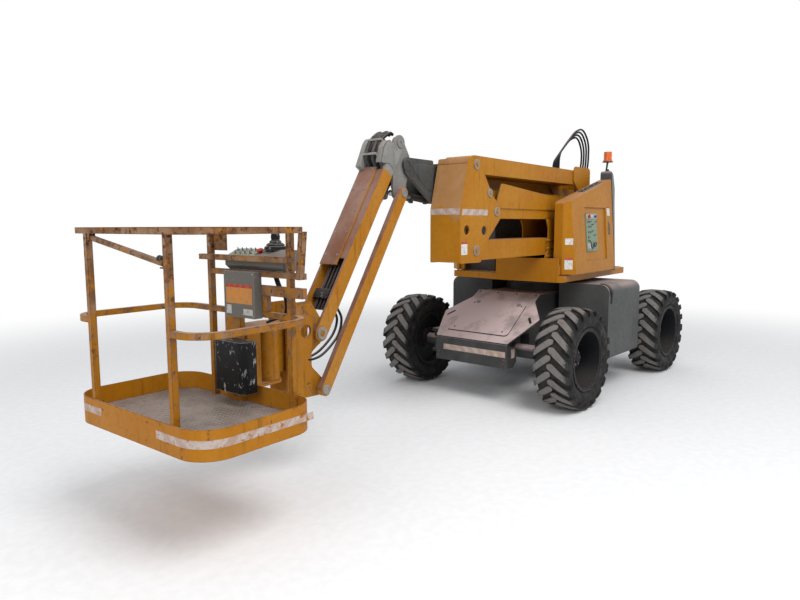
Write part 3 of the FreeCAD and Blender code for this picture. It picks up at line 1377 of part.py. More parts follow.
def basket_rails():
    """A top rail all round, a middle rail that leaves the entry free, and posts down to the floor."""
    foot, tube_size = S.floor_level + S.seat_gap, S.rail_tube
    front = BASKET_FRONT - RAIL_INSET - tube_size
    rear = BASKET_REAR + RAIL_INSET
    middle = cut(rail_ring(S.rail_middle),
                 block((front - 1, S.entry_right + tube_size, S.rail_middle - tube_size - 1),
                       (BASKET_FRONT, S.entry_left, S.rail_middle + 1)))
    pieces = [rail_ring(S.rail_top), middle]
    for x, y in ((front, S.entry_right), (front, S.entry_left), (rear, S.post_right), (rear, S.post_left)):
        pieces.append(block((x, y, foot), (x + tube_size, y + tube_size, S.rail_top - 1)))
    inner = rear + tube_size
    pieces += [
        block((inner - 1, S.post_right - 42, S.guard_bottom),
              (inner + tube_size, S.post_left + 56, S.guard_bottom + tube_size)),
        block((rear, S.post_right, S.cross_top - tube_size), (inner, S.frame_left, S.cross_top)),
        block((rear, 0, S.frame_top - 62), (inner, S.frame_left, S.frame_top)),
        block((rear + 4, 290, S.rail_middle - 1), (inner - 4, 400, S.frame_top - 61)),
        block((rear, S.post_right + 30, S.rail_top - 155), (rear + 6, S.post_right + 173,
                                                          S.rail_top - tube_size + 1)),
        slab("x", [(S.frame_left - tube_size, S.cross_top - tube_size),
                   (S.frame_left, S.cross_top - tube_size),
                   (S.frame_left + 32, S.rail_top - tube_size + 8),
                   (S.frame_left - 4, S.rail_top - tube_size + 8)], rear + 20, inner + 20)]
    pieces.append(block((rear, S.boom_centre - S.turn_radius, S.floor_level + S.seat_gap),
                        (rear + tube_size, S.boom_centre + S.turn_radius, S.rail_middle - 1)))
    y, z = BAR_PIVOT
    outer = S.bar_eye_half + 6
    for x in (BAR_X - outer, BAR_X + outer - 5):
        pieces.append(block((x, y - 14, z - 14), (x + 5, y + 14, S.rail_top - tube_size + 1)))
    pieces.append(bar("x", (BAR_X - outer, y, z), outer * 2, S.bar_pin))
    pieces.append(block((BAR_X - 15, S.entry_left - S.entry_bar_gap - 20, BAR_REST - 8),
                        (BAR_X + 15, S.entry_left + 1, BAR_REST)))
    return fuse(*pieces)


node("basket_rails", basket_rails())
# The boxes hang on the inner side of the rear posts, and the desk stands over the cross tube behind.
CONSOLE_REAR = BASKET_REAR + RAIL_INSET + S.rail_tube + S.seat_gap


def console():
    """A control desk on the cross tube, with a joystick, and a flat grey box under it."""
    front = CONSOLE_REAR - 4
    back, low, top = front - S.console_depth, S.cross_top + S.seat_gap, S.console_bottom + S.console_height
    desk = slab("y", [(back, low), (front - 32, low), (front, S.console_bottom, 8), (front, top, 8),
                      (front - 100, top + S.console_rise, 30), (back, top + S.console_rise, 10)],
                S.console_right, S.console_left)
    x, z, radius = back + 62, top + S.console_rise, S.stick_radius
    stick = [bar("z", (x, S.stick_place, z - 1), height + 1, width)
             for height, width in ((20, radius), (40, radius * 0.7), (60, radius * 0.4), (90, 12))]
    return fuse(desk, *stick, bar("z", (x, S.stick_place, z + 60), 48, 26))


node("console", console())
node("grey_box", block(
    (CONSOLE_REAR, S.grey_box_right, S.grey_box_top - S.grey_box_height),
    (CONSOLE_REAR + S.grey_box_depth, S.grey_box_right + S.grey_box_width, S.grey_box_top)))
node("document_box", slab("z", [
    (CONSOLE_REAR, S.document_right, 10), (CONSOLE_REAR, S.document_right + 320, 10),
    (CONSOLE_REAR + S.document_depth, S.document_right + 320, 50),
    (CONSOLE_REAR + S.document_depth, S.document_right, 50)],
    S.document_bottom, S.document_bottom + S.document_height))


def entry_bar():
    """The drop bar across the entry: an eye on the pin, and a far end that lies on the left post's rest."""
    radius, half = S.entry_bar_radius, S.bar_eye_half
    length = math.hypot(BAR_RUN.value, S.entry_bar_drop.value)
    fall = math.degrees(math.atan2(S.entry_bar_drop.value, BAR_RUN.value))
    body = fuse(bar("x", (-half, 0, 0), half * 2, radius), block((-half, 0, -half), (half, radius + 9, half)),
                bar("y", (0, radius + 6, 0), length - radius.value - 6, radius))
    group = DOC.addObject("Part::Compound", "Bar")
    group.Links = [cut(body, bar("x", (-half - 1, 0, 0), half * 2 + 2, S.bar_pin + S.running_fit))]
    return move(group, BAR_X, *BAR_PIVOT, turn=Rotation(Vector(1, 0, 0), -fall))


node("entry_bar", entry_bar())

# Hydraulic cylinders: each barrel stands on its base pin, and each rod ends in an eye.


def ram(name, centre, base, eye, half, pin, radii, grip, gap, retract):
    """A barrel and a rod between two points of the plane y = centre, with room to retract."""
    barrel_radius, rod_radius, eye_radius = (size(value) for value in radii)
    run, rise = eye[0] - base[0], eye[1] - base[1]
    length = math.hypot(run.value, rise.value)
    angle = math.degrees(math.atan2(rise.value, run.value))
    turn = Rotation(Vector(0, 1, 0), -angle)

    def seat(obj):
        group = DOC.addObject("Part::Compound", "Ram")
        group.Links = [obj]
        return move(group, base[0], centre, base[1], turn=turn)
    bottom = eye_radius * 0.8
    mouth = length - eye_radius.value - gap - retract
    tube_length = mouth - bottom.value
    barrel = cut(
        fuse(bar("x", (bottom, 0, 0), tube_length, barrel_radius),
             bar("y", (0, -half, 0), half * 2, eye_radius)),
        bar("x", (bottom + grip, 0, 0), tube_length, rod_radius + S.running_fit),
        bar("y", (0, -half - 1, 0), half * 2 + 2, pin + S.running_fit))
    start = bottom + grip + 8 + retract
    rod = fuse(bar("x", (start, 0, 0), length - start.value, rod_radius),
               bar("y", (length, -half, 0), half * 2, eye_radius))
    rod = cut(rod, bar("y", (length, -half - 1, 0), half * 2 + 2, pin + 2))
    node(name + "_barrel", seat(barrel))
    node(name + "_rod", seat(rod))


JIB_RAM_EYE = (JIB_UP[0] + S.jib_ram_reach * cosine(S.jib_angle) - S.jib_ram_drop * sine(S.jib_angle),
               JIB_UP[1] - S.jib_ram_reach * sine(S.jib_angle) - S.jib_ram_drop * cosine(S.jib_angle))
RAMS = (
    # name, centre line, base, eye, half width, pin, radii of barrel, rod and eye, solid bottom,
    # gap before the eye, way that the rod goes in from its place
    ("arm_ram", S.arm_centre, RAM_BASE, RAM_EYE, S.ram_eye_half, S.ram_pin,
     (48, 28, 34), 12, 24, 0),
    ("boom_ram", S.boom_centre, BOOM_RAM_BASE, BOOM_RAM_EYE, S.ram_eye_half, S.ram_pin,
     (50, 28, 36), 40, 110, 0),
    ("jib_ram", S.boom_centre, JIB_RAM_BASE, JIB_RAM_EYE, S.ram_eye_half, S.level_pin,
     (34, 20, 30), 30, 40, 0),
    ("level_ram", S.boom_centre, LEVEL_BASE, LEVEL_EYE, S.level_half, S.level_pin,
     (28, 16, 25), 8, 24, 200),
)
for row in RAMS:
    ram(*row)


def hose(points, radius):
    """A round hose along straight runs joined by arcs."""
    path = [Vector(*(size(value).value for value in point)) for point in points]
    edges, start = [], path[0]
    for before, corner, after in zip(path, path[1:], path[2:]):
        into, out = (before - corner), (after - corner)
        turn = math.pi - into.getAngle(out)
        reach = 0.45 * min(into.Length, out.Length)
        into, out = into.normalize(), out.normalize()
        bend = reach / math.tan(turn / 2)
        middle = corner + (into + out).normalize() * (bend / math.cos(turn / 2) - bend)
        first, last = corner + into * reach, corner + out * reach
        edges += [Part.LineSegment(start, first).toShape(), Part.Arc(first, middle, last).toShape()]
        start = last
    edges.append(Part.LineSegment(start, path[-1]).toShape())
    wire = Part.Wire(edges)
    circle = Part.Wire([Part.Circle(path[0], path[1] - path[0], size(radius).value).toShape()])
    return wire.makePipeShell([circle], True, False)


def boom_hoses():
    """Four hoses that rise from the knuckle in a high loop and fall behind the boom."""
    shapes = []
    top = UPPER_ROOT[1] + 120
    for index in range(4):
        pitch = S.hose_radius * 2 + S.seat_gap
        y = S.boom_centre + CHEEK + S.plate_wall + S.hose_radius + S.seat_gap + pitch * index
        lift, spread = index * 30, index * 18
        # Corners of the path, as shares of the loop's reach to the rear and of its rise.
        points = [(UPPER_ROOT[0] + 60, y, top - 28), (UPPER_ROOT[0] + 50, y, top + S.loop_rise * 0.17 + lift)]
        for back, up in ((0.21, 0.52), (0.52, 0.88), (0.81, 1.0)):
            points.append((UPPER_ROOT[0] - S.loop_reach * back, y, top + S.loop_rise * up + lift))
        points.append((UPPER_ROOT[0] - S.loop_reach - spread, y, top + S.loop_rise * 0.64 + lift))
        for back, up in ((0.99, 0.19), (0.85, -0.24), (0.77, -0.6)):
            points.append((UPPER_ROOT[0] - S.loop_reach * back - spread, y, top + S.loop_rise * up))
        shapes.append(hose(points, S.hose_radius))
    loop = DOC.addObject("Part::Feature", "Loop")
    loop.Shape = Part.makeCompound(shapes)
    return loop


node("boom_hoses", boom_hoses())

DOC.recompute()
for item in DOC.Objects:
    if "Invalid" in item.State or "Error" in item.State:
        raise ValueError(item.Name + " failed: " + str(item.State))
os.makedirs("parts", exist_ok=True)
for piece in NODES:
    shape = piece.Shape
    if shape.isNull() or not shape.isValid() or shape.Volume <= 0:
        raise ValueError(piece.Label + " has no valid solid")
    shape.exportStep("parts/" + piece.Label + ".step")
print(len(NODES), "sub-parts")
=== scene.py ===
import math

import bmesh
import bpy
from mathutils import Matrix, Vector


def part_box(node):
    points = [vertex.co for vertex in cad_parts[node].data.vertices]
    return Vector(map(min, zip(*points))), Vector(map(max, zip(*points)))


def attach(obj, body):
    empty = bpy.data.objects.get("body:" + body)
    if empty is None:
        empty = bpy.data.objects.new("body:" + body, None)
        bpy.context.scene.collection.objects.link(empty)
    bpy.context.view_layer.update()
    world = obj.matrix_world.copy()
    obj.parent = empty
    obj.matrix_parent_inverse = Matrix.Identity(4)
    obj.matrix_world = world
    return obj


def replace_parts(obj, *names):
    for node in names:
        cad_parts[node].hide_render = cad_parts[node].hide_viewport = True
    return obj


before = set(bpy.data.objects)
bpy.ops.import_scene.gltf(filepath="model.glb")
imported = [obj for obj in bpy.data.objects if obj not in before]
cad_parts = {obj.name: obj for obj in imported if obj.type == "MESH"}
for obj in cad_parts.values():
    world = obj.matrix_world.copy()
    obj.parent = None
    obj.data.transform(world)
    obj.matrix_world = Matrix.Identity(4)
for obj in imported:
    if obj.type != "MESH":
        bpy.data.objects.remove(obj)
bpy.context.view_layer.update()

# The photograph's camera, found from the wheels: place, heading and field.
EYE = Vector((5.3072, 3.4957, 1.8206))
YAW, PITCH, ROLL = math.radians(218.635), -0.1168, -0.0028
LENS, SENSOR, SIGHT = 28.909, 36, 200

camera = bpy.data.objects.new("Camera", bpy.data.cameras.new("Camera"))
bpy.context.collection.objects.link(camera)
camera.data.lens, camera.data.sensor_width, camera.data.clip_end = LENS, SENSOR, SIGHT
ahead = Vector((math.cos(YAW) * math.cos(PITCH), math.sin(YAW) * math.cos(PITCH), math.sin(PITCH)))
turn = ahead.to_track_quat("-Z", "Y").to_matrix().to_4x4() @ Matrix.Rotation(ROLL, 4, "Z")
camera.matrix_world = Matrix.Translation(EYE) @ turn
bpy.context.scene.camera = camera
bpy.context.scene.view_settings.view_transform = "Standard"

# Axes that pieces are laid out in, in metres: UPPER is all that slews, LOWER the chassis, and JIB has its
# origin at the jib's upper pin, x down the jib and z out of its upper face.
LEFT, RIGHT, AHEAD, UP = (0, 1, 0), (0, -1, 0), (1, 0, 0), (0, 0, 1)
SLEW = Vector((-1.835137, 0, 0))
UPPER = Matrix.Translation(SLEW)
LOWER = UPPER @ Matrix.Rotation(math.radians(-2.4), 4, "Z")
JIB_PIN, JIB_ANGLE = Vector((2.975, 0, 2.483)), math.radians(57.5)
JIB_WAY = Vector((math.cos(JIB_ANGLE), 0, -math.sin(JIB_ANGLE)))
JIB_NORMAL = Vector((math.sin(JIB_ANGLE), 0, math.cos(JIB_ANGLE)))
JIB = UPPER @ Matrix.Translation(JIB_PIN) @ Matrix((JIB_WAY, LEFT, JIB_NORMAL)).transposed().to_4x4()

# Each wheel's centre, in LOWER
WHEELS = {name: Vector((1.1395 * along, 0.9655 * side, 0.502)) for name, along, side in
          (("front_left", 1, 1), ("front_right", 1, -1), ("rear_left", -1, 1), ("rear_right", -1, -1))}


# Materials

class Net:
    """A node tree with short ways to add and join nodes."""

    def __init__(self, tree):
        self.tree = tree
        tree.nodes.clear()

    def put(self, socket, value):
        """Joins a socket, or sets it: a number fills a vector, and a colour gets its alpha."""
        if isinstance(value, bpy.types.NodeSocket):
            self.tree.links.new(value, socket)
        elif hasattr(socket.default_value, "__len__") and not hasattr(value, "__len__"):
            socket.default_value = [value] * len(socket.default_value)
        elif hasattr(value, "__len__") and len(value) == 3 and len(socket.default_value) == 4:
            socket.default_value = (*value, 1)
        else:
            socket.default_value = value

    def add(self, kind, out=0, props=(), **inputs):
        """A new node with its properties and inputs. Returns one of its outputs."""
        node = self.tree.nodes.new(kind)
        for name, value in dict(props).items():
            setattr(node, name, value)
        for name, value in inputs.items():
            self.put(node.inputs[name.replace("_", " ")], value)
        return node.outputs[out]

    def end(self, kind, shader):
        self.put(self.tree.nodes.new(kind).inputs[0], shader)

    def pair(self, kind, a, b, out=0, **props):
        """A node that works on two values."""
        node = self.tree.nodes.new(kind)
        for name, value in props.items():
            setattr(node, name, value)
        for slot, value in zip(node.inputs, (a, b)):
            self.put(slot, value)
        return node.outputs[out]

    def math(self, operation, a, b=0.0, clamp=False):
        return self.pair("ShaderNodeMath", a, b, operation=operation, use_clamp=clamp)

    def times(self, first, *rest):
        for factor in rest:
            first = self.math("MULTIPLY", first, factor)
        return first

    def plus(self, first, *rest):
        for term in rest:
            first = self.math("ADD", first, term)
        return first

    def less(self, a, b):
        return self.math("SUBTRACT", a, b)

    def vector(self, operation, a, b=(0, 0, 0), out=0):
        return self.pair("ShaderNodeVectorMath", a, b, out, operation=operation)

    def dot(self, a, b):
        return self.vector("DOT_PRODUCT", a, b, out=1)

    def length(self, a):
        return self.vector("LENGTH", a, out=1)

    def part(self, vector, index):
        return self.add("ShaderNodeSeparateXYZ", index, Vector=vector)

    def place(self):
        return self.add("ShaderNodeTexCoord", 3)

    def faces(self):
        return self.add("ShaderNodeTexCoord", 1)

    def span(self, value, low, high, out_low=0.0, out_high=1.0, kind="SMOOTHSTEP"):
        """value taken from low..high to out_low..out_high."""
        return self.add("ShaderNodeMapRange", props={"interpolation_type": kind}, Value=value, From_Min=low,
                        From_Max=high, To_Min=out_low, To_Max=out_high)

    def mix(self, factor, a, b):
        node = self.tree.nodes.new("ShaderNodeMix")
        node.data_type, node.clamp_factor = "RGBA", True
        for slot, value in zip((0, 6, 7), (factor, a, b)):
            self.put(node.inputs[slot], value)
        return node.outputs[2]

    def noise(self, where, scale, detail=4.0, rough=0.55, warp=0.0):
        return self.add("ShaderNodeTexNoise", Vector=where, Scale=scale, Detail=detail, Roughness=rough,
                        Distortion=warp)

    def stretch(self, where, scale):
        return self.add("ShaderNodeMapping", Vector=where, Scale=scale)

    def named(self, label, kind="FLOAT"):
        return self.add("GeometryNodeInputNamedAttribute", "Attribute", {"data_type": kind}, Name=label)


def group(name, kind="Shader", **inputs):
    """A new node group. Each input is a number or a kind of socket. Returns its net and their inner ends."""
    tree = bpy.data.node_groups.new(name, kind + "NodeTree")
    net = Net(tree)
    for label, value in inputs.items():
        if isinstance(value, str):
            tree.interface.new_socket(label, in_out="INPUT", socket_type="NodeSocket" + value)
        else:
            entry = tree.interface.new_socket(label, in_out="INPUT", socket_type="NodeSocketFloat")
            entry.default_value = value
    return net, tree.nodes.new("NodeGroupInput").outputs


def close(net, kind="Float", **outputs):
    for label in outputs:
        net.tree.interface.new_socket(label, in_out="OUTPUT", socket_type="NodeSocket" + kind)
    leave = net.tree.nodes.new("NodeGroupOutput")
    for label, value in outputs.items():
        net.put(leave.inputs[label], value)
    return net.tree


def edge_mask():
    """1 along the sharp outer edges of a solid, 0 on its faces."""
    net, given = group("EdgeMask", Width=0.006)
    soft = net.add("ShaderNodeBevel", props={"samples": 4}, Radius=given["Width"])
    flat = net.add("ShaderNodeNewGeometry", 1)
    return close(net, Mask=net.span(net.dot(soft, flat), 0.995, 0.86))


def dust_veil():
    """Dust that lies on upward faces, broken up where hands, boots and rain have cleared it."""
    net, given = group("DustVeil", Amount=0.6)
    place = net.place()
    lying = net.span(net.part(net.faces(), 2), 0.15, 0.9)
    blotch = net.span(net.noise(place, 2.6, 6, 0.62), 0.32, 0.62, 0.45, 1)
    grain = net.span(net.noise(place, 70, 3), 0.3, 0.7, 0.8, 1)
    film = net.span(net.noise(place, 5, 5), 0.4, 0.75, 0, 0.035)
    both = net.plus(net.times(lying, blotch, grain), film)
    return close(net, Mask=net.math("MULTIPLY", both, given["Amount"], clamp=True))


def rust_bloom():
    """Rust patches with freckled rims, thicker along the edges."""
    net, given = group("RustBloom", Amount=0.3, Edge=0.0, Size=5.0)
    place = net.place()
    patch = net.noise(place, given["Size"], 8, 0.68, 0.4)
    freckle = net.noise(place, 95, 5, 0.7)
    raised = net.plus(patch, net.times(net.plus(given["Edge"], freckle), 0.16))
    level = net.less(0.9, net.times(given["Amount"], 0.42))
    return close(net, Mask=net.span(net.less(raised, level), 0.0, 0.035), Tone=net.noise(place, 38, 6, 0.65))


def runs():
    """Dark streaks that rain and oil leave down the upright faces."""
    net, given = group("Runs", Amount=0.3)
    place = net.place()
    upright = net.span(net.math("ABSOLUTE", net.part(net.faces(), 2)), 0.6, 0.2)
    lines = net.span(net.noise(net.stretch(place, (16, 16, 0.9)), 1.6, 5, 0.6), 0.52, 0.72)
    fade = net.span(net.noise(place, 2.1, 3), 0.4, 0.65)
    return close(net, Mask=net.times(lines, fade, upright, given["Amount"]))


EDGES, VEIL, BLOOM, RUNS = edge_mask(), dust_veil(), rust_bloom(), runs()
RUST_DARK, RUST_LIGHT, DUST = (0.055, 0.022, 0.012), (0.23, 0.085, 0.032), (0.40, 0.31, 0.275)
SHEEN = 0.14


def use(net, tree, out="Mask", **inputs):
    return net.add("ShaderNodeGroup", out, {"node_tree": tree}, **inputs)


def material(name):
    """A new material with its net and the place of the point that is shaded."""
    made = bpy.data.materials.new(name)
    made.use_nodes = True
    net = Net(made.node_tree)
    return made, net, net.place()


def finish(net, colour, rough, height, rise, **more):
    """Closes a material with its surface shader. rise is the depth of its relief, in metres."""
    relief = net.add("ShaderNodeBump", Height=height, Distance=rise, Strength=1.0)
    shader = net.add("ShaderNodeBsdfPrincipled", Base_Color=colour, Roughness=rough, Normal=relief,
                     Specular_IOR_Level=SHEEN, **more)
    net.end("ShaderNodeOutputMaterial", shader)


def paint(name, colour, faded, chips=0.35, rust=0.25, dust=0.6, streaks=0.4, gloss=0.42, edge=0.006,
          size=5.0, dust_colour=DUST, shade=0.25, aloft=0.0, patches=()):
    """Old paint: faded in patches, chipped to metal at the edges, with rust, streaks and dust.
    aloft is more rust above shoulder height, and patches paint another colour on some faces."""
    made, net, place = material(name)
    rim = use(net, EDGES, Width=edge)
    body = net.mix(net.span(net.noise(place, 1.7, 5, 0.6), 0.35, 0.68), colour, faded)
    mottle = net.noise(place, 24, 5, 0.65)
    body = net.mix(net.times(net.span(mottle, 0.45, 0.75), 0.5), body, [c * (1 - shade) for c in colour])
    for area in patches:
        mask, tint, worn_tint = area(net, place)
        worn = net.span(net.noise(place, 5, 6, 0.6), 0.38, 0.62)
        body = net.mix(mask, body, net.mix(worn, tint, worn_tint))
    body = net.mix(use(net, RUNS, Amount=streaks), body, [c * 0.3 for c in colour])
    worn = net.plus(net.noise(place, 42, 7, 0.72), net.times(rim, 0.26))
    chipped = net.span(worn, 0.80 - 0.16 * chips, 0.83 - 0.16 * chips)
    bare = net.mix(net.span(net.noise(place, 160, 3), 0.4, 0.6), (0.16, 0.15, 0.14), RUST_LIGHT)
    body = net.mix(chipped, body, bare)
    amount = net.plus(net.span(net.part(place, 2), 1.35, 1.80, 0, aloft), rust) if aloft else rust
    bloom = use(net, BLOOM, Amount=amount, Edge=rim, Size=size)
    tone = bloom.node.outputs["Tone"]
    body = net.mix(bloom, body, net.mix(net.span(tone, 0.35, 0.68), RUST_DARK, RUST_LIGHT))
    veil = use(net, VEIL, Amount=dust)
    body = net.mix(veil, body, dust_colour)
    dull = net.math("MAXIMUM", net.math("MAXIMUM", bloom, chipped), veil)
    rough = net.plus(net.span(dull, 0, 1, gloss, 0.86, "LINEAR"), net.span(mottle, 0.3, 0.7, -0.05, 0.07))
    height = net.less(net.times(net.noise(place, 120, 3), 0.18), net.times(chipped, 0.5))
    finish(net, body, rough, net.plus(height, net.times(bloom, tone, 0.7)), 0.0009)
    return made


def facing(net, way, low=0.8, high=0.95):
    """1 on the faces that look that way."""
    return net.span(net.dot(net.faces(), Vector(way).normalized()), low, high)


# Each patch gives its mask, its colour and its faded colour.

def floor_patch(net, place):
    """The bare steel floor inside the toe board."""
    mask = net.times(facing(net, UP), net.span(net.part(place, 2), 0.69, 0.68))
    return mask, (0.115, 0.085, 0.066), (0.215, 0.175, 0.145)


def jib_patch(net, place):
    """The jib's upper faces have weathered to a dull red brown."""
    return facing(net, JIB_NORMAL), (0.175, 0.066, 0.034), (0.225, 0.112, 0.075)


def jib_end(net, place):
    """The fork at the jib's upper end is grey."""
    from_pin = net.vector("SUBTRACT", place, SLEW + JIB_PIN)
    mask = net.times(net.span(net.dot(from_pin, JIB_WAY), 0.30, 0.28),
                     net.span(net.dot(from_pin, JIB_NORMAL), -0.09, -0.08))
    return mask, (0.19, 0.19, 0.18), (0.26, 0.25, 0.235)


def rail_patch(net, place):
    """Hands and weather have worn the rails to a mottled brown, most of all high up."""
    worn = net.plus(net.noise(place, 17, 8, 0.72), net.span(net.part(place, 2), 0.9, 1.72, -0.05, 0.13),
                    net.times(use(net, EDGES, Width=0.01), 0.07))
    return net.span(worn, 0.50, 0.60, 0, 0.88), (0.135, 0.070, 0.036), (0.27, 0.165, 0.10)


def pylon_patch(net, place):
    """A pale dusty bloom on the upper half of the pylon's front face."""
    edge = net.plus(net.part(place, 2), net.span(net.noise(place, 4, 5), 0.3, 0.7, -0.1, 0.1))
    mask = net.times(facing(net, (1, 0, 0.1), 0.7, 0.95), net.span(edge, 1.86, 2.0, 0, 0.75),
                     net.span(net.part(place, 0), 0.5, 0.6))
    return mask, (0.335, 0.175, 0.075), (0.38, 0.215, 0.105)


YELLOW = (0.375, 0.140, 0.003)
MATERIALS = {
    "yellow": paint("paint_yellow_worn", YELLOW, (0.41, 0.165, 0.007), chips=0.15, rust=0.05, dust=0.42,
                    streaks=0.25, gloss=0.36, size=6.0, shade=0.15),
    "yellow_arm": paint("paint_yellow_arm", (0.385, 0.145, 0.003), (0.42, 0.175, 0.010), chips=0.25,
                        rust=0.12, dust=0.45, size=6.0, shade=0.18, patches=[pylon_patch]),
    "yellow_rails": paint("paint_yellow_rusty", (0.345, 0.128, 0.004), (0.37, 0.155, 0.012), chips=0.85,
                          rust=0.50, dust=0.35, streaks=0.7, edge=0.009, size=21.0, aloft=0.22,
                          patches=[rail_patch]),
    "yellow_tray": paint("paint_yellow_tray", (0.40, 0.148, 0.004), (0.44, 0.18, 0.014), chips=0.65,
                         rust=0.46, dust=0.3, streaks=0.85, edge=0.009, size=15.0, patches=[floor_patch]),
    "yellow_jib": paint("paint_yellow_jib", (0.385, 0.145, 0.005), (0.43, 0.19, 0.03), chips=0.5, rust=0.38,
                        dust=0.4, streaks=0.5, size=11.0, patches=[jib_patch, jib_end]),
    "dark_grey": paint("paint_dark_grey", (0.045, 0.047, 0.046), (0.062, 0.063, 0.061), chips=0.2, rust=0.06,
                       dust=1.4, streaks=0.2, gloss=0.5, dust_colour=(0.52, 0.405, 0.39)),
    "mid_grey": paint("paint_mid_grey", (0.070, 0.072, 0.071), (0.090, 0.090, 0.088), chips=0.12, rust=0.03,
                      dust=1.0, streaks=0.3, gloss=0.45, dust_colour=(0.36, 0.29, 0.27)),
    "light_grey": paint("paint_light_grey", (0.205, 0.20, 0.185), (0.28, 0.27, 0.25), chips=0.5, dust=0.5,
                        streaks=0.6, gloss=0.5),
    "boom_grey": paint("paint_boom_grey", (0.060, 0.062, 0.060), (0.085, 0.086, 0.082), chips=0.3, rust=0.12,
                       dust=0.35, streaks=0.5, gloss=0.5),
    "cast": paint("casting_dark", (0.05, 0.048, 0.045), (0.075, 0.072, 0.066), chips=0.3, rust=0.4, dust=0.7,
                  gloss=0.6),
    "rim": paint("rim_dark_steel", (0.014, 0.015, 0.017), (0.024, 0.025, 0.027), chips=0.3, rust=0.1,
                 dust=0.1, gloss=0.5),
    "steel": paint("steel_worn", (0.20, 0.185, 0.165), (0.30, 0.285, 0.26), chips=0.3, rust=0.35, dust=0.3,
                   gloss=0.45, edge=0.003, size=22),
}


def rubber(name, centre):
    """Tyre rubber: grey dust on the tops of the lugs, black between them, and rings on the sidewall."""
    made, net, place = material("tyre_rubber_" + name)
    arm = net.vector("SUBTRACT", place, LOWER @ centre)
    away = net.length(net.vector("CROSS_PRODUCT", arm, LOWER.to_3x3() @ Vector(LEFT)))
    fine = net.noise(place, 90, 4)
    broad = net.noise(place, 9, 6, 0.6)
    body = net.mix(net.span(broad, 0.35, 0.7), (0.013, 0.013, 0.014), (0.026, 0.025, 0.025))
    lane = net.span(net.plus(away, net.span(fine, 0.3, 0.7, -0.004, 0.004)), 0.455, 0.475, 0, 0.35)
    body = net.mix(net.times(lane, net.span(broad, 0.3, 0.55)), body, (0.075, 0.068, 0.062))
    tops = net.span(net.plus(away, net.span(fine, 0.3, 0.7, -0.003, 0.003)), 0.4855, 0.4925)
    tops = net.times(tops, net.span(net.noise(place, 22, 5, 0.7), 0.28, 0.5, 0.55, 1))
    body = net.mix(tops, body, (0.185, 0.170, 0.158))
    dusty = net.span(net.noise(place, 14, 7, 0.7), 0.45, 0.72, 0, 0.5)
    body = net.mix(net.times(net.span(away, 0.44, 0.40), dusty), body, (0.10, 0.088, 0.078))
    rings = net.times(net.math("SINE", net.times(away, 620)), 0.35, net.span(away, 0.368, 0.362))
    finish(net, body, net.span(fine, 0.3, 0.7, 0.62, 0.85), net.plus(fine, rings), 0.0012)
    return made


def metal_rod():
    made, net, place = material("rod_chrome")
    marks = net.noise(place, 55, 4)
    grease = net.span(net.noise(place, 7, 5), 0.5, 0.7)
    body = net.mix(grease, (0.62, 0.62, 0.63), (0.13, 0.11, 0.09))
    finish(net, body, net.span(marks, 0.3, 0.7, 0.16, 0.3), marks, 0.0002,
           Metallic=net.span(grease, 0, 1, 1, 0.3))
    return made


def moulded(name, colour, scuff, dust=0.4, gloss=0.45, marks=0.5, stretch=(9, 9, 26)):
    """Moulded plastic or rubber with pale scuffs and a fine grain."""
    made, net, place = material(name)
    scrape = net.noise(net.stretch(place, stretch), 3.0, 7, 0.75, 0.3)
    scrape = net.plus(scrape, net.times(use(net, EDGES, Width=0.004), 0.2))
    worn = net.span(scrape, 0.72 - 0.12 * marks, 0.76 - 0.12 * marks, 0, 0.9)
    veil = use(net, VEIL, Amount=dust)
    body = net.mix(veil, net.mix(worn, colour, scuff), DUST)
    rough = net.span(net.math("MAXIMUM", worn, veil), 0, 1, gloss, 0.85, "LINEAR")
    finish(net, body, rough, net.noise(place, 260, 3), 0.0004)
    return made


def lens():
    made, net, place = material("beacon_amber")
    ribs = net.add("ShaderNodeTexWave", props={"bands_direction": "Z"}, Vector=place, Scale=38.0)
    body = net.mix(net.noise(place, 30), (0.72, 0.10, 0.004), (0.82, 0.17, 0.010))
    finish(net, body, 0.22, ribs, 0.002, Coat_Weight=0.6)
    return made


def tape(name, tear):
    """Reflective tape: pale, with faint slanting bars, scratched through to the paint."""
    made, net, place = material(name)
    run = net.plus(*net.part(place, 0).node.outputs)
    bars = net.span(net.math("SINE", net.times(run, 52)), -0.1, 0.1, 0, 0.55)
    body = net.mix(bars, (0.50, 0.42, 0.38), (0.40, 0.24, 0.18))
    body = net.mix(net.span(net.noise(place, 16, 7, 0.7), 0.46, 0.60, 0, 0.5), body, (0.36, 0.22, 0.14))
    torn = net.span(net.noise(place, 34, 8, 0.75), tear, tear + 0.03)
    finish(net, net.mix(torn, body, YELLOW), net.span(torn, 0, 1, 0.35, 0.6), torn, -0.0004)
    return made


def plate(name, ground, band, height, top):
    """A blank sign with a coloured band along its upper edge. top is where it ends, in the world's z."""
    made, net, place = material(name)
    body = net.mix(net.span(net.part(place, 2), top - height, top - height + 0.002), ground, band)
    grime = net.noise(place, 30, 7, 0.7)
    body = net.mix(net.span(grime, 0.5, 0.62, 0, 0.55), body, (0.28, 0.21, 0.15))
    finish(net, body, 0.42, grime, 0.0003)
    return made


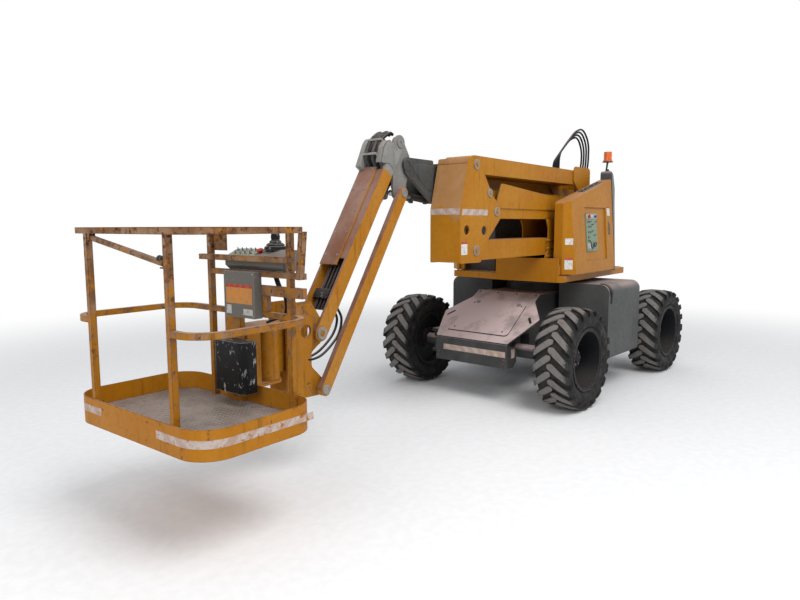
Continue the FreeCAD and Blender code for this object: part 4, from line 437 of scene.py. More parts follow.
BLACK, WHITE, RED, BEIGE = (0.010, 0.010, 0.011), (0.66, 0.65, 0.62), (0.45, 0.05, 0.03), (0.52, 0.50, 0.46)
MATERIALS.update({
    "chrome": metal_rod(),
    "black": moulded("plastic_black_scuffed", BLACK, (0.42, 0.42, 0.40), dust=0.15, marks=1.15,
                     stretch=(16, 9, 5)),
    "hose": moulded("hose_rubber", BLACK, (0.06, 0.058, 0.055), gloss=0.5),
    "sleeve": moulded("sleeve_grey", (0.055, 0.055, 0.055), (0.20, 0.19, 0.18), gloss=0.55, marks=0.7),
    "grey_box": moulded("housing_grey", (0.145, 0.135, 0.12), (0.34, 0.31, 0.27), marks=0.8),
    "panel": moulded("panel_pale_green", (0.20, 0.27, 0.19), (0.42, 0.42, 0.38), marks=0.6),
    "amber": lens(),
    "tape": tape("tape_worn", 0.57),
    "tape_whole": tape("tape_pale", 0.72),
    "red": moulded("knob_red", (0.42, 0.018, 0.012), (0.5, 0.2, 0.15), dust=0.1, marks=0.3),
    "blue": moulded("knob_blue", (0.03, 0.08, 0.27), (0.3, 0.3, 0.35), dust=0.1, marks=0.3),
})
for key, ground, band, height, top in (("label_foot", WHITE, RED, 0.022, 1.674),
                                       ("label_high", WHITE, (0.58, 0.52, 0.44), 0.014, 1.676),
                                       ("label_low", WHITE, RED, 0.024, 1.475),
                                       ("label_side", WHITE, RED, 0.018, 2.016),
                                       ("label_load", (0.60, 0.24, 0.05), RED, 0.022, 1.452),
                                       ("label_box", BEIGE, BEIGE, 0.01, 1.33)):
    MATERIALS[key] = plate(key, ground, band, height, top)

FINISHES = {
    "rim": ["rim_" + name for name in WHEELS],
    "dark_grey": ["chassis_frame", "hoods", "bumpers", "axle_front", "axle_rear", "knuckle_left",
                  "knuckle_right"],
    "boom_grey": ["boom_inner"],
    "mid_grey": ["side_boxes", "rear_covers"],
    "light_grey": ["jib_head"],
    "cast": ["slew_ring", "counterweight", "engine_block", "arm_ram_barrel", "boom_ram_barrel",
             "jib_ram_barrel", "level_ram_barrel"],
    "chrome": ["arm_ram_rod", "boom_ram_rod", "jib_ram_rod", "level_ram_rod"],
    "yellow": ["turret_deck", "turret_uprights", "cover_left", "cover_right", "boom_outer"],
    "yellow_arm": ["lower_arm", "lower_tie", "front_pylon", "upper_arm", "upper_tie", "rear_knuckle"],
    "yellow_jib": ["jib_arm", "jib_tie"],
    "yellow_rails": ["basket_rails", "entry_bar", "basket_support", "basket_carrier"],
    "yellow_tray": ["basket_tray"],
    "hose": ["boom_hoses", "jib_hoses"],
    "grey_box": ["console", "grey_box"],
    "black": ["document_box"],
    "panel": ["control_panel"],
    "amber": ["beacon"],
}
for name, centre in WHEELS.items():
    key = "tyre_" + name
    MATERIALS[key], FINISHES[key] = rubber(name, centre), [key]
for key, nodes in FINISHES.items():
    for label in nodes:
        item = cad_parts[label]
        item.data.materials.clear()
        item.data.materials.append(MATERIALS[key])


# Pieces

def rest_on(item, body):
    bpy.context.collection.objects.link(item)
    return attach(item, body)


class Shape:
    """One piece, made of closed forms gathered in a mesh."""

    def __init__(self, name, body, key, place=UPPER):
        self.name, self.body, self.key, self.place = name, body, key, place
        self.mesh = bmesh.new()

    def prism(self, outline, axis, low, high, bevel=0.0):
        """A flat outline given depth along an axis; its points are the two other axes in order."""
        order = {"x": (1, 2, 0), "y": (0, 2, 1), "z": (0, 1, 2)}[axis]

        def corner(point, depth):
            spot = [0, 0, 0]
            for index, value in zip(order, (*point, depth)):
                spot[index] = value
            return self.mesh.verts.new(spot)
        near, far = ([corner(point, depth) for point in outline] for depth in (low, high))
        faces = [self.mesh.faces.new(near), self.mesh.faces.new(far[::-1])]
        for i in range(len(outline)):
            j = (i + 1) % len(outline)
            faces.append(self.mesh.faces.new((near[j], near[i], far[i], far[j])))
        if bevel:
            edges = list({edge for face in faces for edge in face.edges})
            bmesh.ops.bevel(self.mesh, geom=edges, offset=bevel, segments=2, profile=0.5, affect="EDGES")
        return self

    def box(self, low, high, bevel=0.0):
        return self.prism([(low[0], low[1]), (high[0], low[1]), (high[0], high[1]), (low[0], high[1])], "z",
                          low[2], high[2], bevel)

    def skin(self, rings, closed=False):
        """Faces between rings of vertices. A ring of one vertex is a point."""
        pairs = list(zip(rings, rings[1:])) + ([(rings[-1], rings[0])] if closed else [])
        for a, b in pairs:
            count = max(len(a), len(b))
            for i in range(count):
                j = (i + 1) % count
                corners = [a[i % len(a)], a[j % len(a)], b[j % len(b)], b[i % len(b)]]
                self.mesh.faces.new(list(dict.fromkeys(corners)))

    def ring(self, spot, side, up, radius, sides):
        """A circle of vertices, or one vertex where the radius is 0."""
        angles = [2 * math.pi * i / sides for i in range(sides if radius else 1)]
        return [self.mesh.verts.new(spot + (side * math.cos(a) + up * math.sin(a)) * radius) for a in angles]

    def lathe(self, profile, centre, axis=UP, sides=28):
        """A profile of (along, radius) turned about an axis. Ends of radius 0 close it, or it is a ring."""
        side, up, way = Vector(axis).to_track_quat("Z", "Y").to_matrix().transposed()
        centre = Vector(centre)
        rings = [self.ring(centre + way * along, side, up, radius, sides) for along, radius in profile]
        self.skin(rings, closed=len(rings[0]) > 1)
        return self

    def disc(self, centre, axis, radius, height, edge=0.002, sides=28):
        rim = [(0, radius), (height - edge, radius), (height, radius - edge)]
        return self.lathe([(0, 0), *rim, (height, 0)], centre, axis, sides)

    def tube(self, path, radius, sides=12):
        """A round tube along a path, with one radius or one at each point."""
        path = [Vector(point) for point in path]
        radii = radius if hasattr(radius, "__len__") else [radius] * len(path)
        side, rings = None, []
        for i, spot in enumerate(path):
            ahead = (path[min(i + 1, len(path) - 1)] - path[max(i - 1, 0)]).normalized()
            side = ahead.orthogonal() if side is None else side - ahead * side.dot(ahead)
            side = side.normalized()
            rings.append(self.ring(spot, side, ahead.cross(side), radii[i], sides))
        self.skin([[self.mesh.verts.new(path[0])], *rings, [self.mesh.verts.new(path[-1])]])
        return self

    def strip(self, path, low, high, thick):
        """A band that stands on its edge along a plan path."""
        path = [Vector(point) for point in path]
        rings = []
        for i, spot in enumerate(path):
            ahead = (path[min(i + 1, len(path) - 1)] - path[max(i - 1, 0)]).normalized()
            out = Vector((ahead.y, -ahead.x)) * thick
            corners = [(spot, low), (spot + out, low), (spot + out, high), (spot, high)]
            rings.append([self.mesh.verts.new((point.x, point.y, z)) for point, z in corners])
        self.mesh.faces.new(rings[0])
        self.mesh.faces.new(rings[-1][::-1])
        self.skin(rings)
        return self

    def data(self):
        bmesh.ops.recalc_face_normals(self.mesh, faces=self.mesh.faces)
        bmesh.ops.transform(self.mesh, matrix=self.place, verts=self.mesh.verts)
        data = bpy.data.meshes.new(self.name)
        self.mesh.to_mesh(data)
        self.mesh.free()
        return data

    def done(self, slot=None):
        data = self.data()
        data.shade_smooth()
        data.set_sharp_from_angle(angle=math.radians(35))
        data.materials.append(MATERIALS[self.key])
        item = rest_on(bpy.data.objects.new(self.name, data), self.body)
        return item if slot else item


def sign(name, body, key, place, *boxes):
    """Thin plates on a face: labels, or strips of tape."""
    shape = Shape(name, body, key, place)
    for low, high in boxes:
        shape.box(low, high)
    shape.done()


def curve(points, steps=8):
    """A smooth path through points."""
    points = [Vector(point) for point in points]
    ends = [points[0] * 2 - points[1], *points, points[-1] * 2 - points[-2]]
    path = []
    for a, b, c, d in zip(ends, ends[1:], ends[2:], ends[3:]):
        for step in range(steps):
            t = step / steps
            path.append(0.5 * ((2 * b) + (c - a) * t + (2 * a - 5 * b + 4 * c - d) * t * t
                               + (3 * b - a - 3 * c + d) * t ** 3))
    return path + [points[-1]]


def arc(centre, radius, start, end, steps=8):
    """Plan points round a corner, with angles in degrees."""
    turns = [math.radians(start + (end - start) * i / steps) for i in range(steps + 1)]
    return [(centre[0] + radius * math.cos(a), centre[1] + radius * math.sin(a)) for a in turns]


def mirrored(side, low, high):
    """The two ends of a span, in order, on one side of the middle."""
    return sorted((low * side, high * side))


# Trees for what repeats

def close_scatter(net, given, form, points, turned, **more):
    """Ends a tree that sets a form on points."""
    form = net.add("GeometryNodeObjectInfo", "Geometry", Object=given[form])
    placed = net.add("GeometryNodeInstanceOnPoints", Points=points, Instance=form, Rotation=turned, **more)
    real = net.add("GeometryNodeRealizeInstances", Geometry=placed)
    painted = net.add("GeometryNodeSetMaterial", Geometry=real, Material=given["Finish"])
    return close(net, "Geometry", Pieces=painted)


def bolt_tree():
    """Sets a bolt on each point of a mesh, along the point's own axis, turned by chance."""
    net, given = group("ScatterBolts", "Geometry", Places="Geometry", Bolt="Object", Seed="Int",
                       Finish="Material")
    chance = net.add("FunctionNodeRandomValue", "Value", Max=6.28, Seed=given["Seed"])
    aimed = net.add("FunctionNodeAlignRotationToVector", props={"axis": "Z"},
                    Vector=net.named("way", "FLOAT_VECTOR"))
    turned = net.pair("FunctionNodeRotateRotation", aimed,
                      net.add("FunctionNodeAxisAngleToRotation", Angle=chance), rotation_space="LOCAL")
    points = net.add("GeometryNodeMeshToPoints", Mesh=given["Places"])
    return close_scatter(net, given, "Bolt", points, turned, Scale=net.named("size"))


def stud_tree():
    """Studs on a floor in a slanting lattice, inside a rounded outline."""
    net, given = group("FloorStuds", "Geometry", Places="Geometry", Stud="Object", Length="Float",
                       Width="Float", Corner="Float", Columns="Int", Rows="Int", Finish="Material")
    half_x, half_y = (net.less(net.times(given[side], 0.5), given["Corner"]) for side in ("Length", "Width"))
    spot = net.vector("ABSOLUTE", net.add("GeometryNodeInputPosition"))
    past = net.vector("SUBTRACT", spot, net.add("ShaderNodeCombineXYZ", X=half_x, Y=half_y))
    outside = net.math("GREATER_THAN", net.length(net.vector("MAXIMUM", past)), given["Corner"])
    index = net.add("GeometryNodeInputIndex")
    row = net.math("FLOOR", net.math("DIVIDE", index, given["Rows"]))
    odd = net.math("MODULO", net.plus(row, index), 2)
    grid = net.add("GeometryNodeMeshGrid", "Mesh", Size_X=given["Length"], Size_Y=given["Width"],
                   Vertices_X=given["Columns"], Vertices_Y=given["Rows"])
    store = net.add("GeometryNodeStoreNamedAttribute", props={"data_type": "FLOAT", "domain": "POINT"},
                    Geometry=grid, Name="odd", Value=odd)
    trimmed = net.add("GeometryNodeDeleteGeometry", Geometry=store, Selection=outside)
    angle = net.plus(net.times(net.named("odd"), math.pi / 2), math.pi / 4)
    turned = net.add("FunctionNodeEulerToRotation", Euler=net.add("ShaderNodeCombineXYZ", Z=angle))
    return close_scatter(net, given, "Stud", trimmed, turned)


def grow(name, points, tree, **values):
    """A mesh made by a tree from points, with the tree's inputs set."""
    item = bpy.data.objects.new(name, points)
    bpy.context.collection.objects.link(item)
    change = item.modifiers.new("Grow", "NODES")
    change.node_group = tree
    for entry in tree.interface.items_tree:
        if entry.name in values:
            change[entry.identifier] = values[entry.name]
    view = bpy.context.evaluated_depsgraph_get()
    made = bpy.data.meshes.new_from_object(item.evaluated_get(view), depsgraph=view)
    bpy.data.objects.remove(item)
    made.name = name
    made.set_sharp_from_angle(angle=math.radians(30))
    return made


def pattern(name, build):
    """A small form that a tree repeats, about its own origin."""
    form = Shape(name, None, None, Matrix.Identity(4))
    build(form)
    item = bpy.data.objects.new(name, form.data())
    bpy.context.collection.objects.link(item)
    return item


def hex_head(form):
    """A washer under a six-sided head with a chamfered top, for a bolt of radius 1."""
    form.lathe([(0, 0), (0, 1.35), (0.14, 1.35), (0.18, 1.3), (0.18, 0)], (0, 0, 0), sides=18)
    form.lathe([(0.16, 0), (0.16, 1.0), (0.72, 1.0), (0.84, 0.84), (0.84, 0)], (0, 0, 0), sides=6)


def lozenge(form):
    """A low pointed stud, STUD_LENGTH long."""
    form.prism([(-0.5, 0), (-0.28, -0.14), (0.28, -0.14), (0.5, 0), (0.28, 0.14), (-0.28, 0.14)], "z", -0.02,
               0.07, bevel=0.03)
    bmesh.ops.scale(form.mesh, vec=[STUD_LENGTH] * 3, verts=form.mesh.verts)


STUD_LENGTH = 0.030
BOLT, STUD = pattern("BoltForm", hex_head), pattern("StudForm", lozenge)
BOLTS, STUDS = bolt_tree(), stud_tree()


def bolts(name, body, spots, key="steel", place=UPPER, slot=None):
    """Bolts at spots, each (point, way it faces, radius), on one body."""
    data = bpy.data.meshes.new(name)
    turn = place.to_3x3()
    data.from_pydata([place @ Vector(point) for point, way, size in spots], [], [])
    data.attributes.new("way", "FLOAT_VECTOR", "POINT")
    data.attributes.new("size", "FLOAT", "POINT")
    for i, (point, way, size) in enumerate(spots):
        data.attributes["way"].data[i].vector = turn @ Vector(way)
        data.attributes["size"].data[i].value = size
    made = grow(name, data, BOLTS, Bolt=BOLT, Seed=7, Finish=MATERIALS[key])
    item = rest_on(bpy.data.objects.new(name, made), body)
    return item if slot else item


def ring_spots(centre, axis, radius, count, size):
    """Spots round a circle that face along its axis."""
    turn = Vector(axis).to_track_quat("Z", "Y").to_matrix()
    angles = [2 * math.pi * i / count for i in range(count)]
    return [(Vector(centre) + turn @ Vector((radius * math.cos(a), radius * math.sin(a), 0)), axis, size)
            for a in angles]


# Wheels: a bead ring round each rim, a cap on the hub with a dust ring and a valve, and nuts

for name, centre in WHEELS.items():
    out = Vector((0, math.copysign(1, centre.y), 0))
    body = "wheel_" + name
    Shape("rim_lip_" + name, body, "rim", LOWER).lathe(
        [(0.1585, 0.300), (0.1655, 0.298), (0.1690, 0.3035), (0.1680, 0.3115), (0.1620, 0.3140),
         (0.1590, 0.309)], centre, out, 72).done("rim")
    cap = Shape("hub_cap_" + name, body, "rim", LOWER)
    cap.lathe([(0, 0), (0, 0.046), (0.010, 0.046), (0.016, 0.040), (0.019, 0.020), (0.019, 0)],
              centre + out * 0.0465, out, 32)
    cap.lathe([(0.0, 0.228), (0.004, 0.224), (0.004, 0.212), (0.0, 0.208), (-0.004, 0.212), (-0.004, 0.224)],
              centre + out * -0.0722, out, 48)
    cap.tube([centre + out * depth + Vector((0, 0, z)) for depth, z in
              ((-0.07, 0.255), (-0.04, 0.252), (-0.028, 0.250))], 0.006, 8)
    cap.done("rim")
    bolts("wheel_nuts_" + name, body, ring_spots(centre + out * -0.0725, out, 0.188, 9, 0.0135)
          + ring_spots(centre + out * 0.0472, out, 0.064, 6, 0.0075), place=LOWER, slot="rim")

# Chassis: worn stripes on the bumper, and the straps, bolts and catches

sign("bumper_stripe", "chassis", "tape_whole", LOWER, ((1.5198, -0.345, 0.487), (1.5212, 0.425, 0.545)),
     ((1.372, 0.4438, 0.470), (1.436, 0.4452, 0.560)))
BOX_EDGE = (0.925, 1.081)
for side, name in ((1, "left"), (-1, "right")):
    strap = Shape("tank_strap_" + name, "chassis", "hose", LOWER)
    band = arc(BOX_EDGE, 0.1035, 104, -8, 10) + arc(BOX_EDGE, 0.0952, -8, 104, 10)
    strap.prism([(y * side, z) for y, z in band], "x", 0.335, 0.392, 0.001)
    near, far = mirrored(side, 1.0195, 1.0235)
    strap.box((0.336, near, 0.972), (0.384, far, 1.042), 0.0015)
    near, far = mirrored(side, 1.022, 1.030)
    strap.box((0.352, near, 1.044), (0.374, far, 1.072), 0.002)
    strap.done("hose")

HOOD_WAY = Vector((0.508, 0, 0.861))


def on_hood(x, y, rise=0.0124):
    """A point over the front hood's slope. rise is its height there."""
    return (x, y, 1.070 - 0.5898 * (x - 0.769) + rise)


bolts("hood_bolts", "chassis",
      [(on_hood(x, y), HOOD_WAY, 0.008) for x in (1.0, 1.38) for y in (-0.30, 0.30)]
      + [(on_hood(0.80, y, 0.0004), HOOD_WAY, 0.009) for y in (-0.36, -0.12, 0.12, 0.36)]
      + [((1.5202, y, z), AHEAD, 0.009) for y in (-0.41, 0.41) for z in (0.41, 0.455)],
      "cast", LOWER, slot="paint_dark_grey")
catch = Shape("hood_catch", "chassis", "steel", LOWER)
for y in (-0.26, 0.26):
    catch.lathe([(0, 0), (0, 0.024), (0.005, 0.024), (0.007, 0.020), (0.007, 0)], on_hood(0.985, y), HOOD_WAY,
                24)
    catch.tube([on_hood(0.985, y - 0.016, 0.024), on_hood(0.985, y + 0.016, 0.024)], 0.005, 8)
catch.done("paint_dark_grey")
bolts("ring_bolts", "chassis", ring_spots((0, 0, 1.1498), (0, 0, -1), 0.403, 24, 0.011), place=LOWER,
      slot="cast")

# The tail, drawn in on both sides as the photograph shows it

HOUSING_FRONT, HOUSING_REAR, HOUSING_TOP, HOUSING_HALF = -2.097, -2.725, 2.43, 0.785
TAIL_SHARE = 0.79


def drawn_in(name, node, width):
    """Stands for a solid of the tail, with each point moved to the half width that width gives it."""
    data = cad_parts[node].data.copy()
    data.name = name
    for vertex in data.vertices:
        spot = vertex.co
        spot.y = math.copysign(width(spot, abs(spot.y)), spot.y)
    data.set_sharp_from_angle(angle=math.radians(35))
    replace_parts(rest_on(bpy.data.objects.new(name, data), "turret"), node)


def housing_width(spot, half):
    """Draws in what stands clear of the arms: more towards the rear, and more outside than inside."""
    if spot.z > HOUSING_TOP + 0.001 or half < 0.19:
        return half
    back = min(max((HOUSING_FRONT - spot.x) / (HOUSING_FRONT - HOUSING_REAR), 0), 1)
    inner = 0.575 if spot.y > 0 else 0.2
    out = (half - inner) / (HOUSING_HALF - inner)
    return half - back * (0.068 + 0.192 * out) * min(out + (spot.y > 0), 1)


drawn_in("rear_housings", "rear_covers", housing_width)
drawn_in("cast_tail", "counterweight", lambda spot, half: half * TAIL_SHARE)

# Turret: the louvres of the upright, and the left cover's latch, labels, grille and controls

LEAN = Matrix.Rotation(0.07583, 4, "X")
COVER = UPPER @ Matrix.Translation((0, 0.785, 1.302)) @ LEAN
CHAMFER = UPPER @ Matrix.Translation((0.93, 0.67, 0)) @ Matrix.Rotation(math.atan2(0.115, -0.092), 4, "Z")
ROOF = UPPER @ Matrix.Translation((-0.25, 0, 2.335)) @ Matrix.Rotation(math.atan2(0.29, 1.18), 4, "Y")
panel_low, panel_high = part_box("control_panel")
PANEL = Matrix.Translation((panel_low.x, panel_high.y, panel_low.z)) @ LEAN
BEACON_X, BEACON_Y = -0.355, 0.62

lips = Shape("upright_louvres", "turret", "yellow")
for z in (1.653, 1.568, 1.485):
    lips.prism([(0.4975, z - 0.014), (0.5035, z - 0.010), (0.5035, z + 0.010), (0.4975, z + 0.014)], "x",
               0.775, 0.948, 0.0015)
lips.done("paint_yellow")
latch = Shape("cover_latch", "cover_left", "black", COVER)
latch.box((-0.140, -0.0005, 0.40), (-0.105, 0.0045, 0.545), 0.003)
latch.box((-0.131, 0.004, 0.415), (-0.114, 0.010, 0.50), 0.004)
latch.done("black_box")
sign("side_label", "cover_left", "label_side", COVER, ((-0.165, -0.0004, 0.615), (-0.075, 0.0008, 0.716)))
for name, low, high in (("high", 1.610, 1.676), ("low", 1.356, 1.475)):
    sign("front_label_" + name, "cover_left", "label_" + name, CHAMFER,
         ((0.024, -0.0009, low), (0.108, 0.0004, high)))
grille = Shape("roof_grille", "cover_left", "black", ROOF)
grille.box((0.18, 0.598, -0.0005), (0.72, 0.676, 0.004), 0.002)
for i in range(17):
    x = 0.20 + 0.0305 * i
    grille.prism([(x, 0.003), (x + 0.018, 0.003), (x + 0.014, 0.010), (x + 0.009, 0.010)], "y", 0.606, 0.668)
grille.done("black_box")
caption = Shape("panel_labels", "cover_left", "label_box", PANEL)
caption.box((0.012, -0.0004, 0.352), (0.278, 0.0012, 0.395), 0.0003)
caption.box((0.165, -0.0004, 0.030), (0.270, 0.0010, 0.085), 0.0003)
caption.done("panel")
controls = Shape("panel_controls", "cover_left", "black", PANEL)
for x, z in ((0.245, 0.315), (0.195, 0.315), (0.245, 0.262), (0.195, 0.262), (0.14, 0.285), (0.245, 0.205),
             (0.195, 0.205), (0.245, 0.15), (0.14, 0.215), (0.09, 0.17), (0.04, 0.315)):
    controls.disc((x, 0, z), LEFT, 0.0105, 0.005, 0.0015, 20)
    controls.tube([(x, 0.004, z), (x, 0.022, z + 0.006)], [0.0045, 0.0035], 8)
controls.lathe([(0, 0), (0, 0.030), (0.010, 0.030), (0.014, 0.026), (0.020, 0.022), (0.020, 0)],
               (0.09, 0, 0.075), LEFT)
controls.tube(curve([(0.245, 0.004, 0.12), (0.262, 0.030, 0.10), (0.255, 0.034, 0.05), (0.21, 0.030, 0.03),
                     (0.17, 0.022, 0.05), (0.14, 0.004, 0.06)]), 0.006, 10)
controls.done("black_box")
Shape("panel_stop", "cover_left", "red", PANEL).lathe(
    [(0, 0), (0, 0.011), (0.012, 0.011), (0.014, 0.020), (0.020, 0.021), (0.024, 0.017), (0.026, 0)],
    (0.235, 0, 0.373), LEFT).done()
switch = Shape("panel_key", "cover_left", "blue", PANEL)
switch.disc((0.06, 0, 0.373), LEFT, 0.014, 0.008, sides=24)
switch.box((0.057, 0.006, 0.360), (0.063, 0.024, 0.386), 0.002)
switch.done()
bolts("panel_screws", "cover_left",
      [((x, -0.0002, z), LEFT, 0.005) for x in (0.010, 0.145, 0.280) for z in (0.010, 0.340)], place=PANEL,
      slot="panel")
mast = Shape("beacon_bracket", "turret", "black")
mast.lathe([(0, 0), (0, 0.058), (0.004, 0.061), (0.008, 0.061), (0.008, 0)], (BEACON_X, BEACON_Y, 2.5368), UP,
           32)
mast.lathe([(0, 0.0121), (0, 0.030), (0.006, 0.030), (0.010, 0.024), (0.012, 0.018), (0.028, 0.016),
            (0.028, 0.0121)], (BEACON_X, BEACON_Y, 2.4305), UP, 24)
mast.done("black_box")

# Arms: tape and a label on the pylon, collars and bolts on its pins, and a bent lip

PYLON_SIDE = 0.5
sign("pylon_tape", "front_pylon", "tape_whole", UPPER, ((2.5795, 0.196, 1.9035), (2.5812, 0.494, 1.956)),
     ((2.142, PYLON_SIDE - 0.0005, 1.8985), (2.555, PYLON_SIDE + 0.0012, 1.9505)))
sign("pylon_label", "front_pylon", "label_foot", UPPER,
     ((2.468, PYLON_SIDE - 0.0005, 1.562), (2.562, PYLON_SIDE + 0.0009, 1.674)))
# Each pin's x, z and hole's radius
PYLON_PINS = ((2.327, 1.592, 0.032), (1.981, 1.935, 0.026), (2.333, 2.335, 0.030), (2.103, 2.100, 0.022))
collars = Shape("pylon_collars", "front_pylon", "steel")
for x, z, hole in PYLON_PINS:
    inner, wide = hole + 0.0006, hole + 0.016
    collars.lathe([(-0.0002, inner), (-0.0002, wide), (0.006, wide), (0.0085, wide - 0.003), (0.0085, inner)],
                  (x, PYLON_SIDE, z), LEFT, 32)
collars.done("cast")
bolts("pylon_bolts", "front_pylon", [((x, PYLON_SIDE + 0.0082, z), LEFT, 0.010) for x, z, hole in PYLON_PINS],
      slot="cast")
Shape("pylon_lip", "front_pylon", "yellow_arm").prism(
    [(2.4605, 2.3815), (2.4735, 2.3385), (2.4770, 2.3395), (2.4640, 2.3835)], "y", 0.192, 0.498,
    0.001).done("paint_yellow")

# Boom: wear pad bolts at the mouth, and a gusset on each cheek of the head

spots = []
for x in (2.285, 2.335):
    for z in (2.09, 2.20, 2.31):
        spots += [((x, 0.1702, z), LEFT, 0.010), ((x, -0.0702, z), RIGHT, 0.010)]
    spots += [((x, y, 2.3602), UP, 0.010) for y in (-0.02, 0.12)]
bolts("mouth_bolts", "boom_outer", spots, slot="paint_yellow")
BOOM_MIDDLE, CHEEK, SUNK = 0.05, 0.122, 0.0006
for side, name in ((1, "left"), (-1, "right")):
    gusset = Shape("head_gusset_" + name, "boom_inner", "boom_grey")
    for thick, bevel, outline in (
            (0.0035, 0.0015, [(2.53, 2.325), (2.70, 2.335), (2.815, 2.305), (2.80, 2.272), (2.60, 2.115),
                              (2.53, 2.105)]),
            (0.0055, 0.002, [(2.80, 2.215), (2.818, 2.198), (2.585, 2.03), (2.56, 2.03), (2.56, 2.042)])):
        near, far = mirrored(side, CHEEK - SUNK, CHEEK + thick)
        gusset.prism(outline, "y", BOOM_MIDDLE + near, BOOM_MIDDLE + far, bevel)
    gusset.lathe([(0, 0.0335), (0, 0.050), (0.003, 0.050), (0.005, 0.047), (0.005, 0.0335)],
                 (2.88, BOOM_MIDDLE + side * (CHEEK - SUNK), 2.31), (0, side, 0), 36)
    gusset.done("paint_dark_grey")

# Jib: a bent shroud over the end, a guard, the cover plate, the hose sleeves and their clamps, and pin ends

shroud = Shape("jib_shroud", "jib_arm", "light_grey", JIB)
edge = [(0.058, 0.061), (0.066, 0.118), (0.100, 0.146), (0.155, 0.152), (0.277, 0.115)]
arch = [(0.262, 0.078), (0.238, 0.052), (0.226, 0.020), (0.228, -0.012), (0.238, -0.042), (0.190, -0.045),
        (0.080, 0.052)]
shroud.prism(edge + arch, "y", 0.1724, 0.1764, 0.0008)
shroud.prism(edge + [(s, u - 0.004) for s, u in edge[::-1]], "y", 0.118, 0.1764, 0.0006)
shroud.done("paint_light_grey")
Shape("jib_guard", "jib_arm", "light_grey", JIB).prism(
    [(0.045, 0.060), (0.045, 0.132), (0.066, 0.150), (0.110, 0.156), (0.318, 0.130), (0.318, 0.0750),
     (0.285, 0.0598)], "y", -0.0712, -0.020, 0.005).done("paint_light_grey")
LID_TOP = 0.0745
Shape("jib_cover_plate", "jib_arm", "yellow_jib", JIB).box(
    (0.286, -0.0710, 0.0592), (1.182, 0.104, LID_TOP), 0.003).done("paint_yellow")
block = Shape("jib_hose_clamp", "jib_arm", "black", JIB)
block.box((1.365, -0.045, 0.006), (1.445, 0.105, 0.030), 0.004)
block.box((1.385, -0.060, 0.008), (1.425, 0.120, 0.016), 0.003)
block.done("hose")
for index, (y, rise) in enumerate(((0.000, 0.006), (0.034, 0.0), (0.068, 0.004), (0.100, -0.004))):
    path = curve([(-0.052, y, 0.046), (-0.035, y, 0.086 + rise), (0.045, y, 0.128 + rise),
                  (0.135, y, 0.142 + rise), (0.225, y, 0.118 + rise), (0.272, y, 0.050), (0.330, y, 0.010),
                  (0.420, y, -0.003), (0.516, y, -0.0037)], 26)
    ribbed = index % 2 == 0
    radii = [0.0150 + 0.0022 * math.cos(i * 2.1) if ribbed else 0.0135 for i in range(len(path))]
    Shape("jib_sleeve_%d" % (index + 1), "jib_arm", "sleeve" if ribbed else "hose", JIB).tube(
        path, radii).done("hose")
band = Shape("sleeve_clamps", "jib_arm", "steel", JIB)
for s, u in ((0.070, 0.133), (0.205, 0.126)):
    lower, upper = u - 0.021, u + 0.024
    for z in (upper, lower):
        band.box((s, -0.018, z - 0.002), (s + 0.022, 0.120, z + 0.002), 0.001)
    for y in (-0.018, 0.116):
        band.box((s, y, lower - 0.001), (s + 0.022, y + 0.004, upper + 0.001), 0.001)
band.done("paint_light_grey")
bolts("jib_cover_bolts", "jib_arm",
      [((s, y, LID_TOP), UP, 0.007) for s in (0.315, 0.50, 0.70, 0.90, 1.10) for y in (-0.045, 0.080)],
      place=JIB, slot="paint_yellow")


def pin_end(name, body, place, centre, radius, height, hollow, depth):
    """A pin's end, with a chamfered rim and a hollow middle."""
    top = height + 0.003
    Shape(name, body, "steel", place).lathe(
        [(0, 0), (0, radius), (height, radius), (top, radius - 0.004), (top, hollow), (depth, hollow - 0.002),
         (depth, 0)], centre, LEFT, 32).done("cast")


for name, body, x, z in (("jib_pin_collar", "jib_head", 2.991, 2.076),
                         ("basket_pin_collar", "basket_support", 3.911931, 0.630427)):
    pin_end(name, body, UPPER, (x, 0.2256, z), 0.037, 0.006, 0.020, 0.006)
for index, y in enumerate((0.128, 0.160)):
    shift = 0.016 * index
    Shape("jib_loop_%d" % (index + 1), "jib_arm", "hose").tube(curve([
        (3.700, y - 0.02, 1.285), (3.742 - shift, y, 1.218), (3.692 - shift, y, 1.118),
        (3.735 - shift, y, 1.009 - shift), (3.860, y, 0.912 - 1.5 * shift),
        (3.960, y - 0.01, 0.872 - shift), (4.043, y - 0.03, 0.863)]), 0.0095).done("hose")
pin_end("jib_foot_pins", "jib_arm", JIB, (1.714, 0.1702, 0), 0.047, 0.010, 0.024, 0.007)

# Basket: floor studs, tapes, the desk's controls and leads, the boxes' labels and the bar's end

DESK = UPPER @ Matrix.Translation((4.4786, 0, 1.6663)) @ Matrix.Rotation(math.atan2(0.047, 0.1), 4, "Y")
FLOOR = UPPER @ Matrix.Translation((4.95, 0.13, 0.672))
tread = grow("floor_studs", bpy.data.meshes.new("floor_grid"), STUDS, Stud=STUD, Length=0.74, Width=1.28,
             Corner=0.15, Columns=24, Rows=40, Finish=MATERIALS["steel"])
tread.transform(FLOOR)
rest_on(bpy.data.objects.new("floor_studs", tread), "basket")
CORNER_X, TAPE_TURN, TOE_FRONT, TAPE_THICK = 5.17, 0.1898, 5.3598, 0.0014
left_corner = arc((CORNER_X, 0.62), TAPE_TURN, 90, 0, 10)
right_corner = arc((CORNER_X, -0.36), TAPE_TURN, 0, -44)
Shape("toe_tape_left", "basket", "tape").strip(
    [(TOE_FRONT, 0.40), *left_corner[:0:-1], (CORNER_X, 0.8098), (4.60, 0.8098)], 0.690, 0.735,
    TAPE_THICK).done()
Shape("toe_tape_right", "basket", "tape").strip(
    [*right_corner[::-1], (TOE_FRONT, -0.19)], 0.700, 0.745, TAPE_THICK).done()
